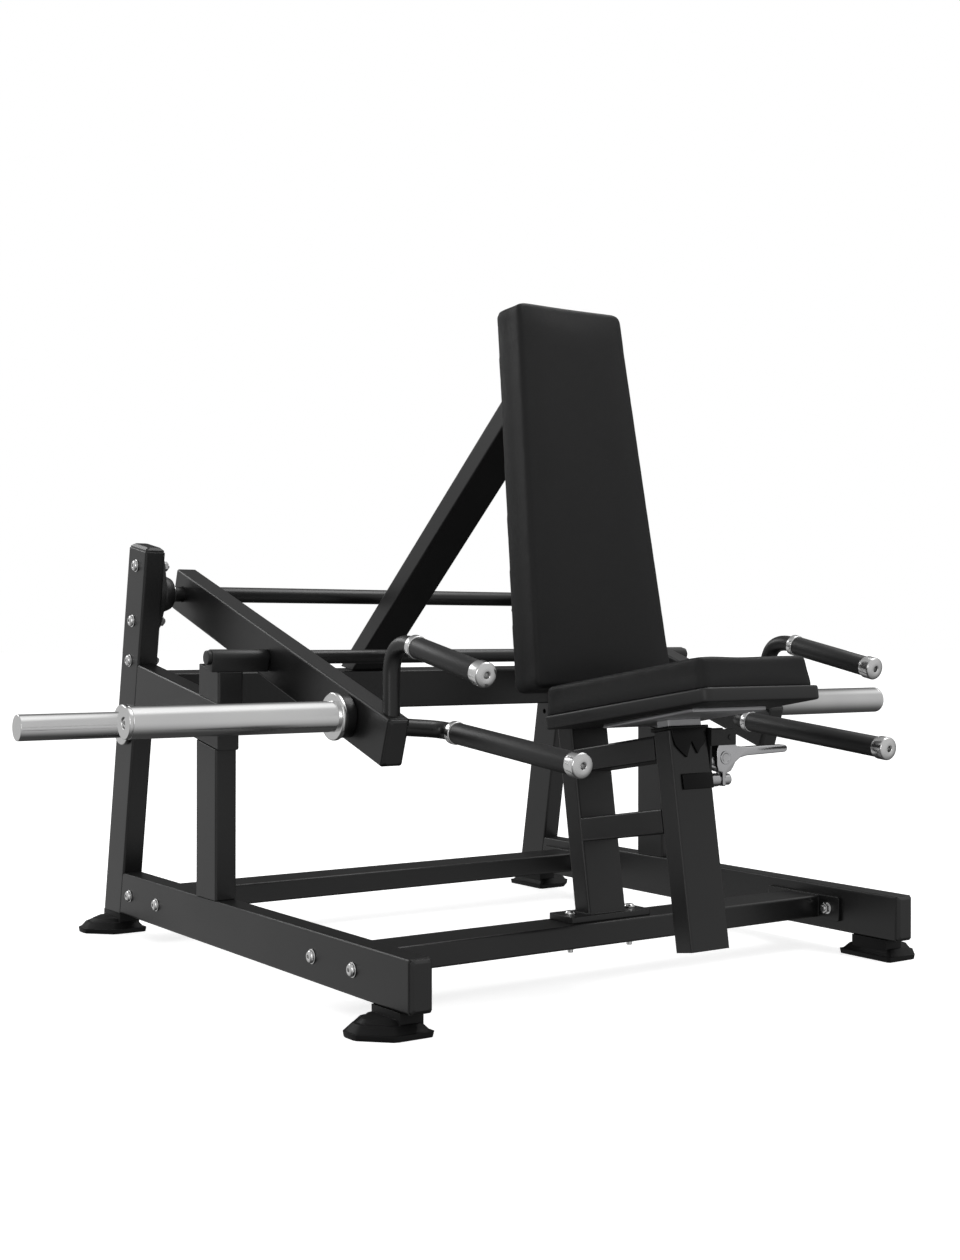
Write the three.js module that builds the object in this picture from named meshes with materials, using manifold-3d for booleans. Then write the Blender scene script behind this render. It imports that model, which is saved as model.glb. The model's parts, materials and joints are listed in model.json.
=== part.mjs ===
// Plate-loaded seated shrug machine, in millimetres.
// +X is the seated user's left-hand side, -Y is the front, +Z is up.
// The origin is on the floor, under the middle of the machine's bounding box.
// Frame tubes are real hollow sections; everything is symmetric about X = 0
// except the seat's release lever, which sits on the +X side.

import * as THREE from 'three';
import { ConvexGeometry } from 'three/addons/geometries/ConvexGeometry.js';
import { mergeVertices } from 'three/addons/utils/BufferGeometryUtils.js';
import Module from 'manifold-3d';

const wasm = await Module();
wasm.setup();

// ---------------------------------------------------------------- dimensions
const GAP = 0.3;                 // clearance between pieces that touch
const TUBE_NARROW = 40;          // frame tube section, narrow side
const TUBE_WIDE = 80;            // frame tube section, wide side
const WALL = 3;                  // frame tube wall
const CORNER = 4;                // outer corner radius of a frame tube
const deg = Math.PI / 180;

const FRONT = -487;            // Y of the floor rails' front ends
const RAIL_X = 506;              // centre plane of each floor rail, upright, post and side beam
const RAIL_BOTTOM = 37;          // height of the rail's underside
const RAIL_TOP = RAIL_BOTTOM + TUBE_WIDE;
const RAIL_MID = RAIL_BOTTOM + TUBE_WIDE / 2;
const CROSS_FRONT = 218;         // centre of the front cross beam, behind the rails' front ends
const CROSS_REAR = 936;          // centre of the rear cross beam
const BOLT_HALF_PITCH = 62.5;    // half the distance between a flange's two bolts

const UPRIGHT_FOOT = 1031;       // upright's front face at the rail's top, behind the rails' front ends
const UPRIGHT_LEAN = 9.8 * deg;  // uprights lean forward
const UPRIGHT_TOP = 737;         // height of the upright's centre line where its cap starts
const UPPER_BEAM_Z = 465;
const POST_FRONT = 624;
const SIDE_SLOPE = 10 * deg;     // side beams fall towards the front
const SIDE_FRONT = 617;
const SIDE_AXIS_Z = 417.5;       // centre line height at the side beam's front end
const STOP_FRONT = 614;
const STOP_WIDTH = 48;

const PIVOT_Y = 979;             // yoke pivot axis, behind the rails' front ends
const PIVOT_Z = 654.5;
const PIVOT_R = 15;
const ARM_X = 408;
const ARM_SLOPE = 18.16 * deg;   // arms fall towards the front at rest
const ARM_REAR = 35;             // arm's length behind the pivot, along its axis
const ARM_FRONT = 790;           // and in front of it
const STOP_BAR_ALONG = 376.5;    // stop bar's place, from the pivot along the arm
const STOP_BAR_R = 12.5;
const STOP_BAR_HALF = 545;
const BUMPER_THICK = 11;
const HORN_ALONG = 670;          // weight horn's place, from the pivot along the arm
const SLEEVE_R = 25;             // 50 mm plate sleeves
const FLANGE_R = 39;
const HORN_END = 812;
const STORAGE_END = 739;

const HANDLE_R = 14;
const GRIP_R = 17.5;
const UPPER_GRIP = { x: 408, y: 172, z: 559.6, fall: 11.7 * deg, length: 203 };
const LOWER_GRIP = { x: 318, y: 197, z: 422.8, fall: 5.4 * deg, length: 336 };

const TILT = 9.2 * deg;          // seat, backrest and seat columns all lean back by this
const GUIDE_TOP = 424.4;         // seat guide, centre line heights
const GUIDE_BOTTOM = 80;
const GUIDE_Y = 18.8;            // guide's centre line at GUIDE_TOP, behind the rails' front ends
const SEAT_POST_Y = 221.3;       // rear column's centre line at its base plate
const SEAT_POST_TOP = 640;
const BASE_PLATE = 10;
const SEAT_FRONT = -157;         // top front edge of the seat cushion
const SEAT_TOP = 546.8;
const SEAT_LENGTH = 353;
const SEAT_HALF_FRONT = 115.6;
const SEAT_HALF_REAR = 149;
const CUSHION = 47;
const SEAT_BASE = 22;
const SEAT_PLATE = 6;
const SEAT_HOLES = 6;
const SEAT_PITCH = 25;
const BACK_FRONT = 195.5;        // lower front edge of the backrest
const BACK_BOTTOM = 493.6;
const BACK_LENGTH = 662.5;
const BACK_THICK = 67;
const BACK_HALF_TOP = 111.5;
const BACK_HALF_BOTTOM = 146.2;
const STRUT_SLOPE = 40.1 * deg;
const STRUT_POINT = [971, 544.7];

const FOOT_INNER = 476;          // rubber feet: straight inner side, outer corners cut at 45 degrees
const FOOT_OUTER = 587;
const FOOT_LENGTH = 121;
const FOOT_CUT = 46;
const FOOT_FRONT = 4;            // front edges of the front and rear feet, behind the rails' front ends
const FOOT_REAR = 1030;
const LEVER_Y = 6;               // centre plane of the release lever, behind the rails' front ends
const LEVER_PIVOT = [80, 413];
const PIN_Z = 343;
const PIN_KNOB = 77;             // X of the pin knob's inner face
const PIN_TIP = 35.6;            // the pin stands just clear of the seat tube's wall

// ---------------------------------------------------------------- helpers
const X_AXIS = new THREE.Vector3(1, 0, 0);

function solid(geometry) {
  const bare = geometry.clone();
  bare.deleteAttribute('normal');
  bare.deleteAttribute('uv');
  const merged = mergeVertices(bare, 1e-4);
  const index = new Uint32Array(merged.index.array);
  const mesh = new wasm.Mesh({
    numProp: 3,
    vertProperties: new Float32Array(merged.attributes.position.array),
    triVerts: index,
  });
  mesh.merge();
  let body = new wasm.Manifold(mesh);
  if (body.volume() < 0) {
    for (let i = 0; i < index.length; i += 3) {
      [index[i], index[i + 1]] = [index[i + 1], index[i]];
    }
    body = new wasm.Manifold(new wasm.Mesh({
      numProp: 3,
      vertProperties: new Float32Array(merged.attributes.position.array),
      triVerts: index,
    }));
  }
  return body;
}

function geometryOf(body) {
  const mesh = body.getMesh();
  const geometry = new THREE.BufferGeometry();
  const flat = new Float32Array(mesh.numVert * 3);
  for (let i = 0; i < mesh.numVert; i += 1) {
    for (let k = 0; k < 3; k += 1) {
      flat[i * 3 + k] = mesh.vertProperties[i * mesh.numProp + k];
    }
  }
  geometry.setAttribute('position', new THREE.BufferAttribute(flat, 3));
  geometry.setIndex(new THREE.BufferAttribute(new Uint32Array(mesh.triVerts), 1));
  geometry.computeVertexNormals();
  return geometry;
}

function join(...bodies) {
  return bodies.reduce((sum, body) => sum.add(body));
}

function moved(geometry, x, y, z) {
  return geometry.translate(x, y, z);
}

// A box with its centre at (x, y, z).
function box(x, y, z, sx, sy, sz) {
  return solid(moved(new THREE.BoxGeometry(sx, sy, sz), x, y, z));
}

// A round bar along X between x0 and x1.
function rodX(x0, x1, y, z, radius, sides = 16) {
  const geometry = new THREE.CylinderGeometry(radius, radius, Math.abs(x1 - x0), sides);
  geometry.rotateZ(Math.PI / 2);
  return solid(moved(geometry, (x0 + x1) / 2, y, z));
}

// A round bar along Z between z0 and z1.
function rodZ(x, y, z0, z1, radius, sides = 20) {
  const geometry = new THREE.CylinderGeometry(radius, radius, z1 - z0, sides);
  geometry.rotateX(Math.PI / 2);
  return solid(moved(geometry, x, y, (z0 + z1) / 2));
}

// Turns a lathe profile of [radius, along] pairs, then points its axis along +X or -X.
function turnedX(profile, side, x, y, z, sides) {
  const points = profile.map(([r, along]) => new THREE.Vector2(r, along));
  const geometry = new THREE.LatheGeometry(points, sides);
  geometry.rotateZ(-side * Math.PI / 2);
  return solid(moved(geometry, x, y, z));
}

function roundedRectangle(width, height, radius) {
  const shape = new THREE.Shape();
  const w = width / 2;
  const h = height / 2;
  shape.moveTo(-w + radius, -h);
  shape.lineTo(w - radius, -h);
  shape.absarc(w - radius, -h + radius, radius, -Math.PI / 2, 0, false);
  shape.lineTo(w, h - radius);
  shape.absarc(w - radius, h - radius, radius, 0, Math.PI / 2, false);
  shape.lineTo(-w + radius, h);
  shape.absarc(-w + radius, h - radius, radius, Math.PI / 2, Math.PI, false);
  shape.lineTo(-w, -h + radius);
  shape.absarc(-w + radius, -h + radius, radius, Math.PI, Math.PI * 1.5, false);
  return shape;
}

// A rectangular bar from a to b; `across` is the direction of its width.
function bar(a, b, width, height, radius, across = X_AXIS, segments = 1) {
  const axis = new THREE.Vector3().subVectors(b, a);
  const length = axis.length();
  axis.normalize();
  const up = new THREE.Vector3().crossVectors(axis, across);
  const geometry = new THREE.ExtrudeGeometry(roundedRectangle(width, height, radius), {
    depth: length,
    bevelEnabled: false,
    curveSegments: segments,
  });
  geometry.applyMatrix4(new THREE.Matrix4().makeBasis(across, up, axis));
  return solid(moved(geometry, a.x, a.y, a.z));
}

// A hollow frame tube from a to b. An end named in `closed` keeps a plug there.
function tube(a, b, width, height, closed = [], across = X_AXIS, wall = WALL) {
  const axis = new THREE.Vector3().subVectors(b, a).normalize();
  const inA = closed.includes('start') ? 5 : -80;
  const inB = closed.includes('end') ? 5 : -80;
  const hollowA = a.clone().addScaledVector(axis, inA);
  const hollowB = b.clone().addScaledVector(axis, -inB);
  const outer = bar(a, b, width, height, CORNER, across, 2);
  const inner = bar(hollowA, hollowB, width - 2 * wall, height - 2 * wall, 1, across);
  return outer.subtract(inner);
}

// Keeps the part of a body on the side of the plane that `normal` points to.
function keep(body, normal, point) {
  return body.trimByPlane([normal.x, normal.y, normal.z], normal.dot(point));
}

// A chamfered plastic cap that closes a tube's end at `point`, facing `axis`.
function endCap(point, axis, width, height, thick, across = X_AXIS) {
  const up = new THREE.Vector3().crossVectors(axis, across);
  const levels = [[-1, 1.5], [thick * 0.45, 1.5], [thick, thick * 0.7 + 1.5]];
  const points = [];
  for (const [along, inset] of levels) {
    const w = width / 2 - inset;
    const h = height / 2 - inset;
    const outline = [
      [w, h - 3],
      [w - 3, h],
      [3 - w, h],
      [-w, h - 3],
      [-w, 3 - h],
      [3 - w, -h],
      [w - 3, -h],
      [w, 3 - h],
    ];
    for (const [u, v] of outline) {
      const corner = point.clone().addScaledVector(across, u).addScaledVector(up, v);
      points.push(corner.addScaledVector(axis, along));
    }
  }
  return solid(new ConvexGeometry(points));
}

// The cylinder that clears a bolt's shank.
function boltHoleX(x, y, z) {
  return rodX(x - 60, x + 60, y, z, 5.9, 8);
}

// A dome-headed through bolt with its nut, head outwards on the given side (+1 or -1).
function boltX(side, face, y, z, grip) {
  const profile = [
    [0, -grip - 10], [9, -grip - 10], [9, -grip - GAP], [5, -grip - GAP],
    [5, GAP], [10.5, GAP], [10.5, 2.5], [7.5, 6], [0, 7.2],
  ];
  return turnedX(profile, side, side * face, y, z, 10);
}

const root = new THREE.Group();
const finishes = {
  frame: { color: 0x1c1c1e, roughness: 0.42, metalness: 0.35 },
  steel: { color: 0xb9babc, roughness: 0.28, metalness: 0.95 },
  zinc: { color: 0x9da0a3, roughness: 0.45, metalness: 0.8 },
  chrome: { color: 0xd0d2d4, roughness: 0.15, metalness: 1.0 },
  rubber: { color: 0x141414, roughness: 0.85, metalness: 0.0 },
  plastic: { color: 0x17171a, roughness: 0.5, metalness: 0.0 },
  vinyl: { color: 0x1b1b1d, roughness: 0.6, metalness: 0.0 },
};

function add(name, finish, body, parent = root) {
  const mesh = new THREE.Mesh(geometryOf(body), new THREE.MeshStandardMaterial(finishes[finish]));
  mesh.name = name;
  parent.add(mesh);
  return mesh;
}

const sides = [['right', -1], ['left', 1]];
const at = (x, fromFront, z) => new THREE.Vector3(x, FRONT + fromFront, z);

// ---------------------------------------------------------------- directions and centre lines
const uprightUp = new THREE.Vector3(0, -Math.sin(UPRIGHT_LEAN), Math.cos(UPRIGHT_LEAN));
const uprightFront = new THREE.Vector3(0, -Math.cos(UPRIGHT_LEAN), -Math.sin(UPRIGHT_LEAN));
const sideForward = new THREE.Vector3(0, -Math.cos(SIDE_SLOPE), -Math.sin(SIDE_SLOPE));
const sideUp = new THREE.Vector3(0, -Math.sin(SIDE_SLOPE), Math.cos(SIDE_SLOPE));
const armForward = new THREE.Vector3(0, -Math.cos(ARM_SLOPE), -Math.sin(ARM_SLOPE));
const tiltUp = new THREE.Vector3(0, Math.sin(TILT), Math.cos(TILT));
const tiltBack = new THREE.Vector3(0, Math.cos(TILT), -Math.sin(TILT));
const tiltFront = tiltBack.clone().negate();

// The upright's centre line at a given height.
function uprightAxis(x, z) {
  const rise = z - RAIL_TOP;
  const y = UPRIGHT_FOOT + TUBE_WIDE / 2 / Math.cos(UPRIGHT_LEAN) - rise * Math.tan(UPRIGHT_LEAN);
  return at(x, y, z);
}

function armPoint(x, along) {
  return at(x, PIVOT_Y, PIVOT_Z).addScaledVector(armForward, along);
}

// ---------------------------------------------------------------- floor frame
const crossBeams = [['front', CROSS_FRONT], ['rear', CROSS_REAR]];

for (const [name, side] of sides) {
  const x = side * RAIL_X;
  const frontFace = uprightAxis(x, RAIL_TOP).addScaledVector(uprightFront, TUBE_WIDE / 2 + GAP);
  const railRear = at(x, UPRIGHT_FOOT + 60, RAIL_MID);
  let rail = tube(at(x, 0, RAIL_MID), railRear, TUBE_NARROW, TUBE_WIDE, ['start']);
  rail = keep(rail, uprightFront, frontFace);
  rail = rail.add(endCap(at(x, 0.2, RAIL_MID), new THREE.Vector3(0, -1, 0), TUBE_NARROW, TUBE_WIDE, 7));
  for (const [, centre] of crossBeams) {
    for (const end of [-1, 1]) {
      rail = rail.subtract(boltHoleX(x, FRONT + centre + end * BOLT_HALF_PITCH, RAIL_MID));
    }
  }
  add(`rail_${name}`, 'frame', rail);

  const bolts = [['a', -1], ['b', 1]];
  for (const [beam, centre] of crossBeams) {
    for (const [letter, end] of bolts) {
      const y = FRONT + centre + end * BOLT_HALF_PITCH;
      add(`bolt_${beam}_${name}_${letter}`, 'steel',
        boltX(side, RAIL_X + TUBE_NARROW / 2, y, RAIL_MID, TUBE_NARROW + GAP + 6));
    }
  }
}

// A cross beam with a two-bolt flange on each end, lying along X.
function crossBeam(centre, height, width, up) {
  const inner = RAIL_X - TUBE_NARROW / 2 - GAP;
  const flange = 6;
  const half = inner - flange + 1;
  const depth = new THREE.Vector3().crossVectors(up, X_AXIS);
  const a = centre.clone().setX(-half);
  const b = centre.clone().setX(half);
  let body = tube(a, b, width, height, [], depth);
  for (const side of [-1, 1]) {
    const p0 = centre.clone().setX(side * (inner - flange));
    const p1 = centre.clone().setX(side * inner);
    const long = width > height;
    const plate = bar(p0, p1, long ? 180 : width + 4, long ? height + 4 : 180, 3, depth);
    const along = long ? depth : up;
    const vent = rodX(p0.x - 20, p0.x + 20, centre.y, centre.z, 5, 12);
    body = body.add(plate).subtract(vent);
    for (const end of [-1, 1]) {
      const hole = p1.clone().addScaledVector(along, end * BOLT_HALF_PITCH);
      body = body.subtract(boltHoleX(hole.x, hole.y, hole.z));
    }
  }
  return body;
}

for (const [name, centre] of crossBeams) {
  add(`beam_${name}`, 'frame',
    crossBeam(at(0, centre, RAIL_MID), TUBE_NARROW, TUBE_WIDE, new THREE.Vector3(0, 0, 1)));
}
add('upper_beam', 'frame', crossBeam(uprightAxis(0, UPPER_BEAM_Z), TUBE_WIDE, TUBE_NARROW, uprightUp));

// One level of a foot's outline, drawn in by `inset` all round.
function footLevel(side, start, z, inset) {
  const inner = FOOT_INNER + inset;
  const outer = FOOT_OUTER - inset;
  const near = start + inset;
  const far = start + FOOT_LENGTH - inset;
  const cut = FOOT_CUT - inset * 0.6;
  const round = 4;
  const outline = [
    [inner + round, near], [outer - cut - round, near], [outer - cut + round, near + round / 2],
    [outer - round / 2, near + cut - round], [outer, near + cut + round],
    [outer, far - cut - round], [outer - round / 2, far - cut + round],
    [outer - cut + round, far - round / 2], [outer - cut - round, far], [inner + round, far],
    [inner, far - round], [inner, near + round],
  ];
  return outline.map(([x, y]) => at(side * x, y, z));
}

function footTier(side, start, z0, inset0, z1, inset1) {
  const points = [...footLevel(side, start, z0, inset0), ...footLevel(side, start, z1, inset1)];
  return solid(new ConvexGeometry(points));
}

for (const [name, side] of sides) {
  for (const [place, start, neckStart] of [['front', FOOT_FRONT, 21], ['rear', FOOT_REAR, 1046]]) {
    const neckTop = RAIL_BOTTOM - GAP;
    const neckMid = (14 + neckTop) / 2;
    const neck = box(side * RAIL_X, FRONT + neckStart + 40, neckMid, TUBE_NARROW, 80, neckTop - 14);
    const rim = footTier(side, start, 0, 1.5, 9, 0);
    const shoulder = footTier(side, start, 8, 3, 20, 13);
    const crown = footTier(side, start, 19, 18, 26, 26);
    add(`foot_${place}_${name}`, 'rubber', join(rim, shoulder, crown, neck));
  }
}

// ---------------------------------------------------------------- uprights, side beams, posts
const BEARING_HALF = 53;
for (const [name, side] of sides) {
  const x = side * RAIL_X;
  const top = uprightAxis(x, UPRIGHT_TOP);
  let upright = tube(uprightAxis(x, RAIL_BOTTOM - 40), top, TUBE_NARROW, TUBE_WIDE, ['end']);
  upright = keep(upright, new THREE.Vector3(0, 0, 1), at(x, 0, RAIL_BOTTOM));
  const capFoot = top.clone().addScaledVector(uprightUp, -0.2);
  upright = upright.add(endCap(capFoot, uprightUp, TUBE_NARROW, TUBE_WIDE, 9));
  const beamCentre = uprightAxis(x, UPPER_BEAM_Z);
  const bearingCentre = uprightAxis(x, PIVOT_Z);
  const holes = [[beamCentre, BOLT_HALF_PITCH], [bearingCentre, BEARING_HALF]];
  for (const [centre, reach] of holes) {
    for (const end of [-1, 1]) {
      const p = centre.clone().addScaledVector(uprightUp, end * reach);
      upright = upright.subtract(boltHoleX(p.x, p.y, p.z));
    }
  }
  add(`upright_${name}`, 'frame', upright);

  const upperBolt = beamCentre.clone().addScaledVector(uprightUp, BOLT_HALF_PITCH);
  add(`bolt_upper_${name}`, 'steel',
    boltX(side, RAIL_X + TUBE_NARROW / 2, upperBolt.y, upperBolt.z, TUBE_NARROW + GAP + 6));

  // The two-bolt flange bearing that carries the yoke, with its through bolts.
  const inner = RAIL_X - TUBE_NARROW / 2 - GAP;
  const flange = [];
  for (const end of [-1, 1]) {
    const p = bearingCentre.clone().addScaledVector(uprightUp, end * BEARING_HALF);
    flange.push(rodX(side * inner, side * (inner - 12), p.y, p.z, 15, 16));
    flange.push(boltX(side, RAIL_X + TUBE_NARROW / 2, p.y, p.z, TUBE_NARROW + GAP + 12 - 2));
  }
  const c = bearingCentre;
  const reachA = c.clone().setX(side * inner).addScaledVector(uprightUp, -BEARING_HALF);
  const reachB = c.clone().setX(side * inner).addScaledVector(uprightUp, BEARING_HALF);
  const web = bar(reachA, reachB, 24, 44, 3).intersect(
    rodX(side * inner, side * (inner - 12), c.y, c.z, 90, 16));
  const housing = rodX(side * inner, side * (inner - 36), c.y, c.z, 36, 20);
  const bore = rodX(side * (inner + 30), side * (inner - 60), FRONT + PIVOT_Y, PIVOT_Z, PIVOT_R + 0.5, 16);
  add(`bearing_${name}`, 'plastic', join(housing, web, ...flange).subtract(bore));

  // Side beam, from the upright down to the stop post, with a plastic plug at its front.
  const sideEnd = at(x, SIDE_FRONT, SIDE_AXIS_Z);
  const sideStart = sideEnd.clone().addScaledVector(sideForward, -480);
  const sideReach = sideEnd.clone().addScaledVector(sideForward, 40);
  let sideBeam = tube(sideStart, sideReach, TUBE_NARROW, TUBE_WIDE, []);
  const plug = bar(sideEnd.clone().addScaledVector(sideForward, -20),
    sideEnd.clone().addScaledVector(sideForward, 40), TUBE_NARROW - 2, TUBE_WIDE - 2, 3);
  sideBeam = sideBeam.add(plug);
  sideBeam = keep(sideBeam, new THREE.Vector3(0, 1, 0), sideEnd);
  sideBeam = keep(sideBeam, uprightFront,
    uprightAxis(x, RAIL_TOP).addScaledVector(uprightFront, TUBE_WIDE / 2 + GAP));
  add(`side_beam_${name}`, 'frame', sideBeam);

  const sideBottom = sideEnd.clone().addScaledVector(sideUp, -TUBE_WIDE / 2 - GAP);
  const postY = POST_FRONT + TUBE_WIDE / 2;
  let post = tube(at(x, postY, RAIL_TOP + GAP), at(x, postY, 480), TUBE_NARROW, TUBE_WIDE, []);
  post = keep(post, sideUp.clone().negate(), sideBottom);
  add(`post_${name}`, 'frame', post);

  // Stop post: the yoke's rubber bumper rests on its sloping top.
  const barCentre = armPoint(x, STOP_BAR_ALONG);
  const stopTop = barCentre.clone().addScaledVector(sideUp, -(STOP_BAR_R + BUMPER_THICK + GAP));
  const sideTop = sideEnd.clone().addScaledVector(sideUp, TUBE_WIDE / 2 + GAP);
  const stopX = x - side * (STOP_WIDTH - TUBE_NARROW) / 2;
  const stopY = STOP_FRONT + TUBE_WIDE / 2;
  let stop = tube(at(stopX, stopY, 430), at(stopX, stopY, 560), STOP_WIDTH, TUBE_WIDE, []);
  const stopPlug = bar(at(stopX, stopY, 495), at(stopX, stopY, 560), STOP_WIDTH - 2, TUBE_WIDE - 2, 3);
  stop = stop.add(stopPlug);
  stop = keep(stop, sideUp, sideTop);
  stop = keep(stop, sideUp.clone().negate(), stopTop);
  add(`stop_post_${name}`, 'frame', stop);

  // Storage horn for spare plates. Its own stud is the lower bolt of the upper beam's flange.
  const horn = beamCentre.clone().addScaledVector(uprightUp, -BOLT_HALF_PITCH);
  const face = RAIL_X + TUBE_NARROW / 2 + GAP;
  const length = STORAGE_END - face;
  const stud = TUBE_NARROW + 2 * GAP + 6;
  const profile = [
    [0, -stud - 10],
    [9, -stud - 10],
    [9, -stud - GAP],
    [5, -stud - GAP],
    [5, 0],
    [FLANGE_R - 2, 0],
    [FLANGE_R, 2],
    [FLANGE_R, 6],
    [FLANGE_R - 3, 9],
    [SLEEVE_R, 9],
    [SLEEVE_R, length - 3], [SLEEVE_R - 3, length], [0, length],
  ];
  add(`storage_horn_${name}`, 'steel', turnedX(profile, side, side * face, horn.y, horn.z, 28));
}

// ---------------------------------------------------------------- seat columns and backrest
const guideTop = at(0, GUIDE_Y, GUIDE_TOP);
const guideLength = (GUIDE_TOP - GUIDE_BOTTOM) / Math.cos(TILT);
const guideBottom = guideTop.clone().addScaledVector(tiltUp, -guideLength);
const GUIDE_WALL = 4;
const pinY = FRONT + LEVER_Y;
let guide = tube(guideBottom, guideTop, TUBE_WIDE, TUBE_NARROW, [], X_AXIS, GUIDE_WALL);
guide = guide.subtract(rodX(20, 60, pinY, PIN_Z, 5.9, 8));
add('seat_guide', 'frame', guide);

const beamTop = RAIL_MID + TUBE_NARROW / 2;
const postFoot = at(0, SEAT_POST_Y, beamTop + GAP + BASE_PLATE);
const postLength = (SEAT_POST_TOP - postFoot.z) / Math.cos(TILT);
const postTop = postFoot.clone().addScaledVector(tiltUp, postLength);
const postRoot = postFoot.clone().addScaledVector(tiltUp, -20);
let seatPost = tube(postRoot, postTop, TUBE_WIDE, TUBE_NARROW, ['end']);
seatPost = keep(seatPost, new THREE.Vector3(0, 0, 1), at(0, 0, beamTop + GAP));
const basePlate = bar(at(0, 222, beamTop + GAP), at(0, 222, beamTop + GAP + BASE_PLATE), 170, 66, 4);
seatPost = seatPost.add(basePlate).subtract(rodZ(0, FRONT + SEAT_POST_Y, 80, beamTop + 30, 6, 12));
const BASE_BOLT_X = 64;
const BASE_BOLT_Y = 222;
const frontBeam = root.children.find((mesh) => mesh.name === 'beam_front');
let drilledBeam = solid(frontBeam.geometry);
for (const side of [-1, 1]) {
  const hole = rodZ(side * BASE_BOLT_X, FRONT + BASE_BOLT_Y, 20, 140, 5.9, 8);
  seatPost = seatPost.subtract(hole);
  drilledBeam = drilledBeam.subtract(hole);
}
frontBeam.geometry = geometryOf(drilledBeam);
add('seat_post', 'frame', seatPost);

for (const [name, side] of sides) {
  const top = beamTop + GAP + BASE_PLATE;
  const grip = BASE_PLATE + GAP + TUBE_NARROW;
  const profile = [
    [0, -grip - 14], [5, -grip - 14], [5, -grip - 8], [9, -grip - 8], [9, -grip - GAP],
    [5, -grip - GAP], [5, GAP], [10, GAP], [10, 2.5], [7, 6], [0, 6.8],
  ].map(([r, z]) => new THREE.Vector2(r, z));
  const bolt = new THREE.LatheGeometry(profile, 10).rotateX(Math.PI / 2);
  add(`bolt_base_${name}`, 'steel', solid(moved(bolt, side * BASE_BOLT_X, FRONT + BASE_BOLT_Y, top)));
}

// Two fixed links tie the seat guide to the rear column.
for (const [name, fromFront, z] of [['upper', 241, 363], ['lower', 227, 247]]) {
  const p = at(0, fromFront, z);
  const planeRear = postFoot.clone().addScaledVector(tiltFront, TUBE_NARROW / 2 + GAP);
  const planeFront = guideTop.clone().addScaledVector(tiltBack, TUBE_NARROW / 2 + GAP);
  let link = tube(p.clone().addScaledVector(tiltFront, 300), p.clone().addScaledVector(tiltBack, 100),
    TUBE_WIDE, TUBE_NARROW, []);
  link = keep(link, tiltFront, planeRear);
  link = keep(link, tiltBack, planeFront);
  add(`seat_link_${name}`, 'frame', link);
}

// A flat panel drawn in its own plane: x across, v along, then thickened.
function panel(outline, thick, origin, along, out) {
  const shape = new THREE.Shape(outline.map(([x, v]) => new THREE.Vector2(x, v)));
  const geometry = new THREE.ExtrudeGeometry(shape, { depth: thick, bevelEnabled: false });
  const across = new THREE.Vector3().crossVectors(along, out);
  geometry.applyMatrix4(new THREE.Matrix4().makeBasis(across, along, out));
  return solid(moved(geometry, origin.x, origin.y, origin.z));
}

// A tapered outline with rounded corners, wide at v = 0.
function taperedOutline(halfStart, halfEnd, length, radius) {
  const corners = [[-halfStart, 0], [halfStart, 0], [halfEnd, length], [-halfEnd, length]];
  const steps = 4;
  const outline = [];
  corners.forEach(([x, v], i) => {
    const [px, pv] = corners[(i + 3) % 4];
    const [nx, nv] = corners[(i + 1) % 4];
    const lp = Math.hypot(px - x, pv - v);
    const ln = Math.hypot(nx - x, nv - v);
    const a = [x + (px - x) * radius / lp, v + (pv - v) * radius / lp];
    const b = [x + (nx - x) * radius / ln, v + (nv - v) * radius / ln];
    for (let k = 0; k <= steps; k += 1) {
      const t = k / steps;
      outline.push([0, 1].map((c) => (
        (1 - t) ** 2 * a[c] + 2 * t * (1 - t) * [x, v][c] + t ** 2 * b[c])));
    }
  });
  return outline;
}

const backOrigin = at(0, BACK_FRONT, BACK_BOTTOM);
add('backrest_pad', 'vinyl', panel(
  taperedOutline(BACK_HALF_BOTTOM, BACK_HALF_TOP, BACK_LENGTH, 16), BACK_THICK,
  backOrigin, tiltUp, tiltBack));

const strutAxis = new THREE.Vector3(0, -Math.cos(STRUT_SLOPE), Math.sin(STRUT_SLOPE));
const strutPoint = at(0, ...STRUT_POINT);
const padRear = backOrigin.clone().addScaledVector(tiltBack, BACK_THICK + GAP);
const beamUpper = uprightAxis(0, UPPER_BEAM_Z).addScaledVector(uprightUp, TUBE_WIDE / 2 + GAP);
let strut = tube(strutPoint.clone().addScaledVector(strutAxis, -200),
  strutPoint.clone().addScaledVector(strutAxis, 900), TUBE_WIDE, TUBE_NARROW, []);
strut = keep(strut, tiltBack, padRear);
strut = keep(strut, uprightUp, beamUpper);
add('backrest_strut', 'frame', strut);

// ---------------------------------------------------------------- sliding seat
const seatOrigin = at(0, SEAT_FRONT, SEAT_TOP);
const seatDown = tiltUp.clone().negate();
const below = (distance) => seatOrigin.clone().addScaledVector(seatDown, distance);
const seatOutline = (grow, front) => {
  const half = (v) => SEAT_HALF_FRONT + (SEAT_HALF_REAR - SEAT_HALF_FRONT) * v / SEAT_LENGTH + grow;
  const outline = taperedOutline(half(0), half(SEAT_LENGTH), SEAT_LENGTH + front, 14);
  return outline.map(([x, v]) => [x, v - front]);
};
add('seat_cushion', 'vinyl', panel(seatOutline(0, 0), CUSHION, seatOrigin, tiltBack, seatDown));
add('seat_base', 'plastic', panel(seatOutline(4, 9), SEAT_BASE, below(CUSHION + GAP), tiltBack, seatDown));
const plateTop = CUSHION + SEAT_BASE + 2 * GAP;
const plateFront = 72;
const plateLength = 219;
const plateStart = below(plateTop).addScaledVector(tiltBack, plateFront);
const plateEnd = plateStart.clone().addScaledVector(tiltBack, plateLength);
const plate = bar(plateStart, plateEnd, 154, SEAT_PLATE, 1);
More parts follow.
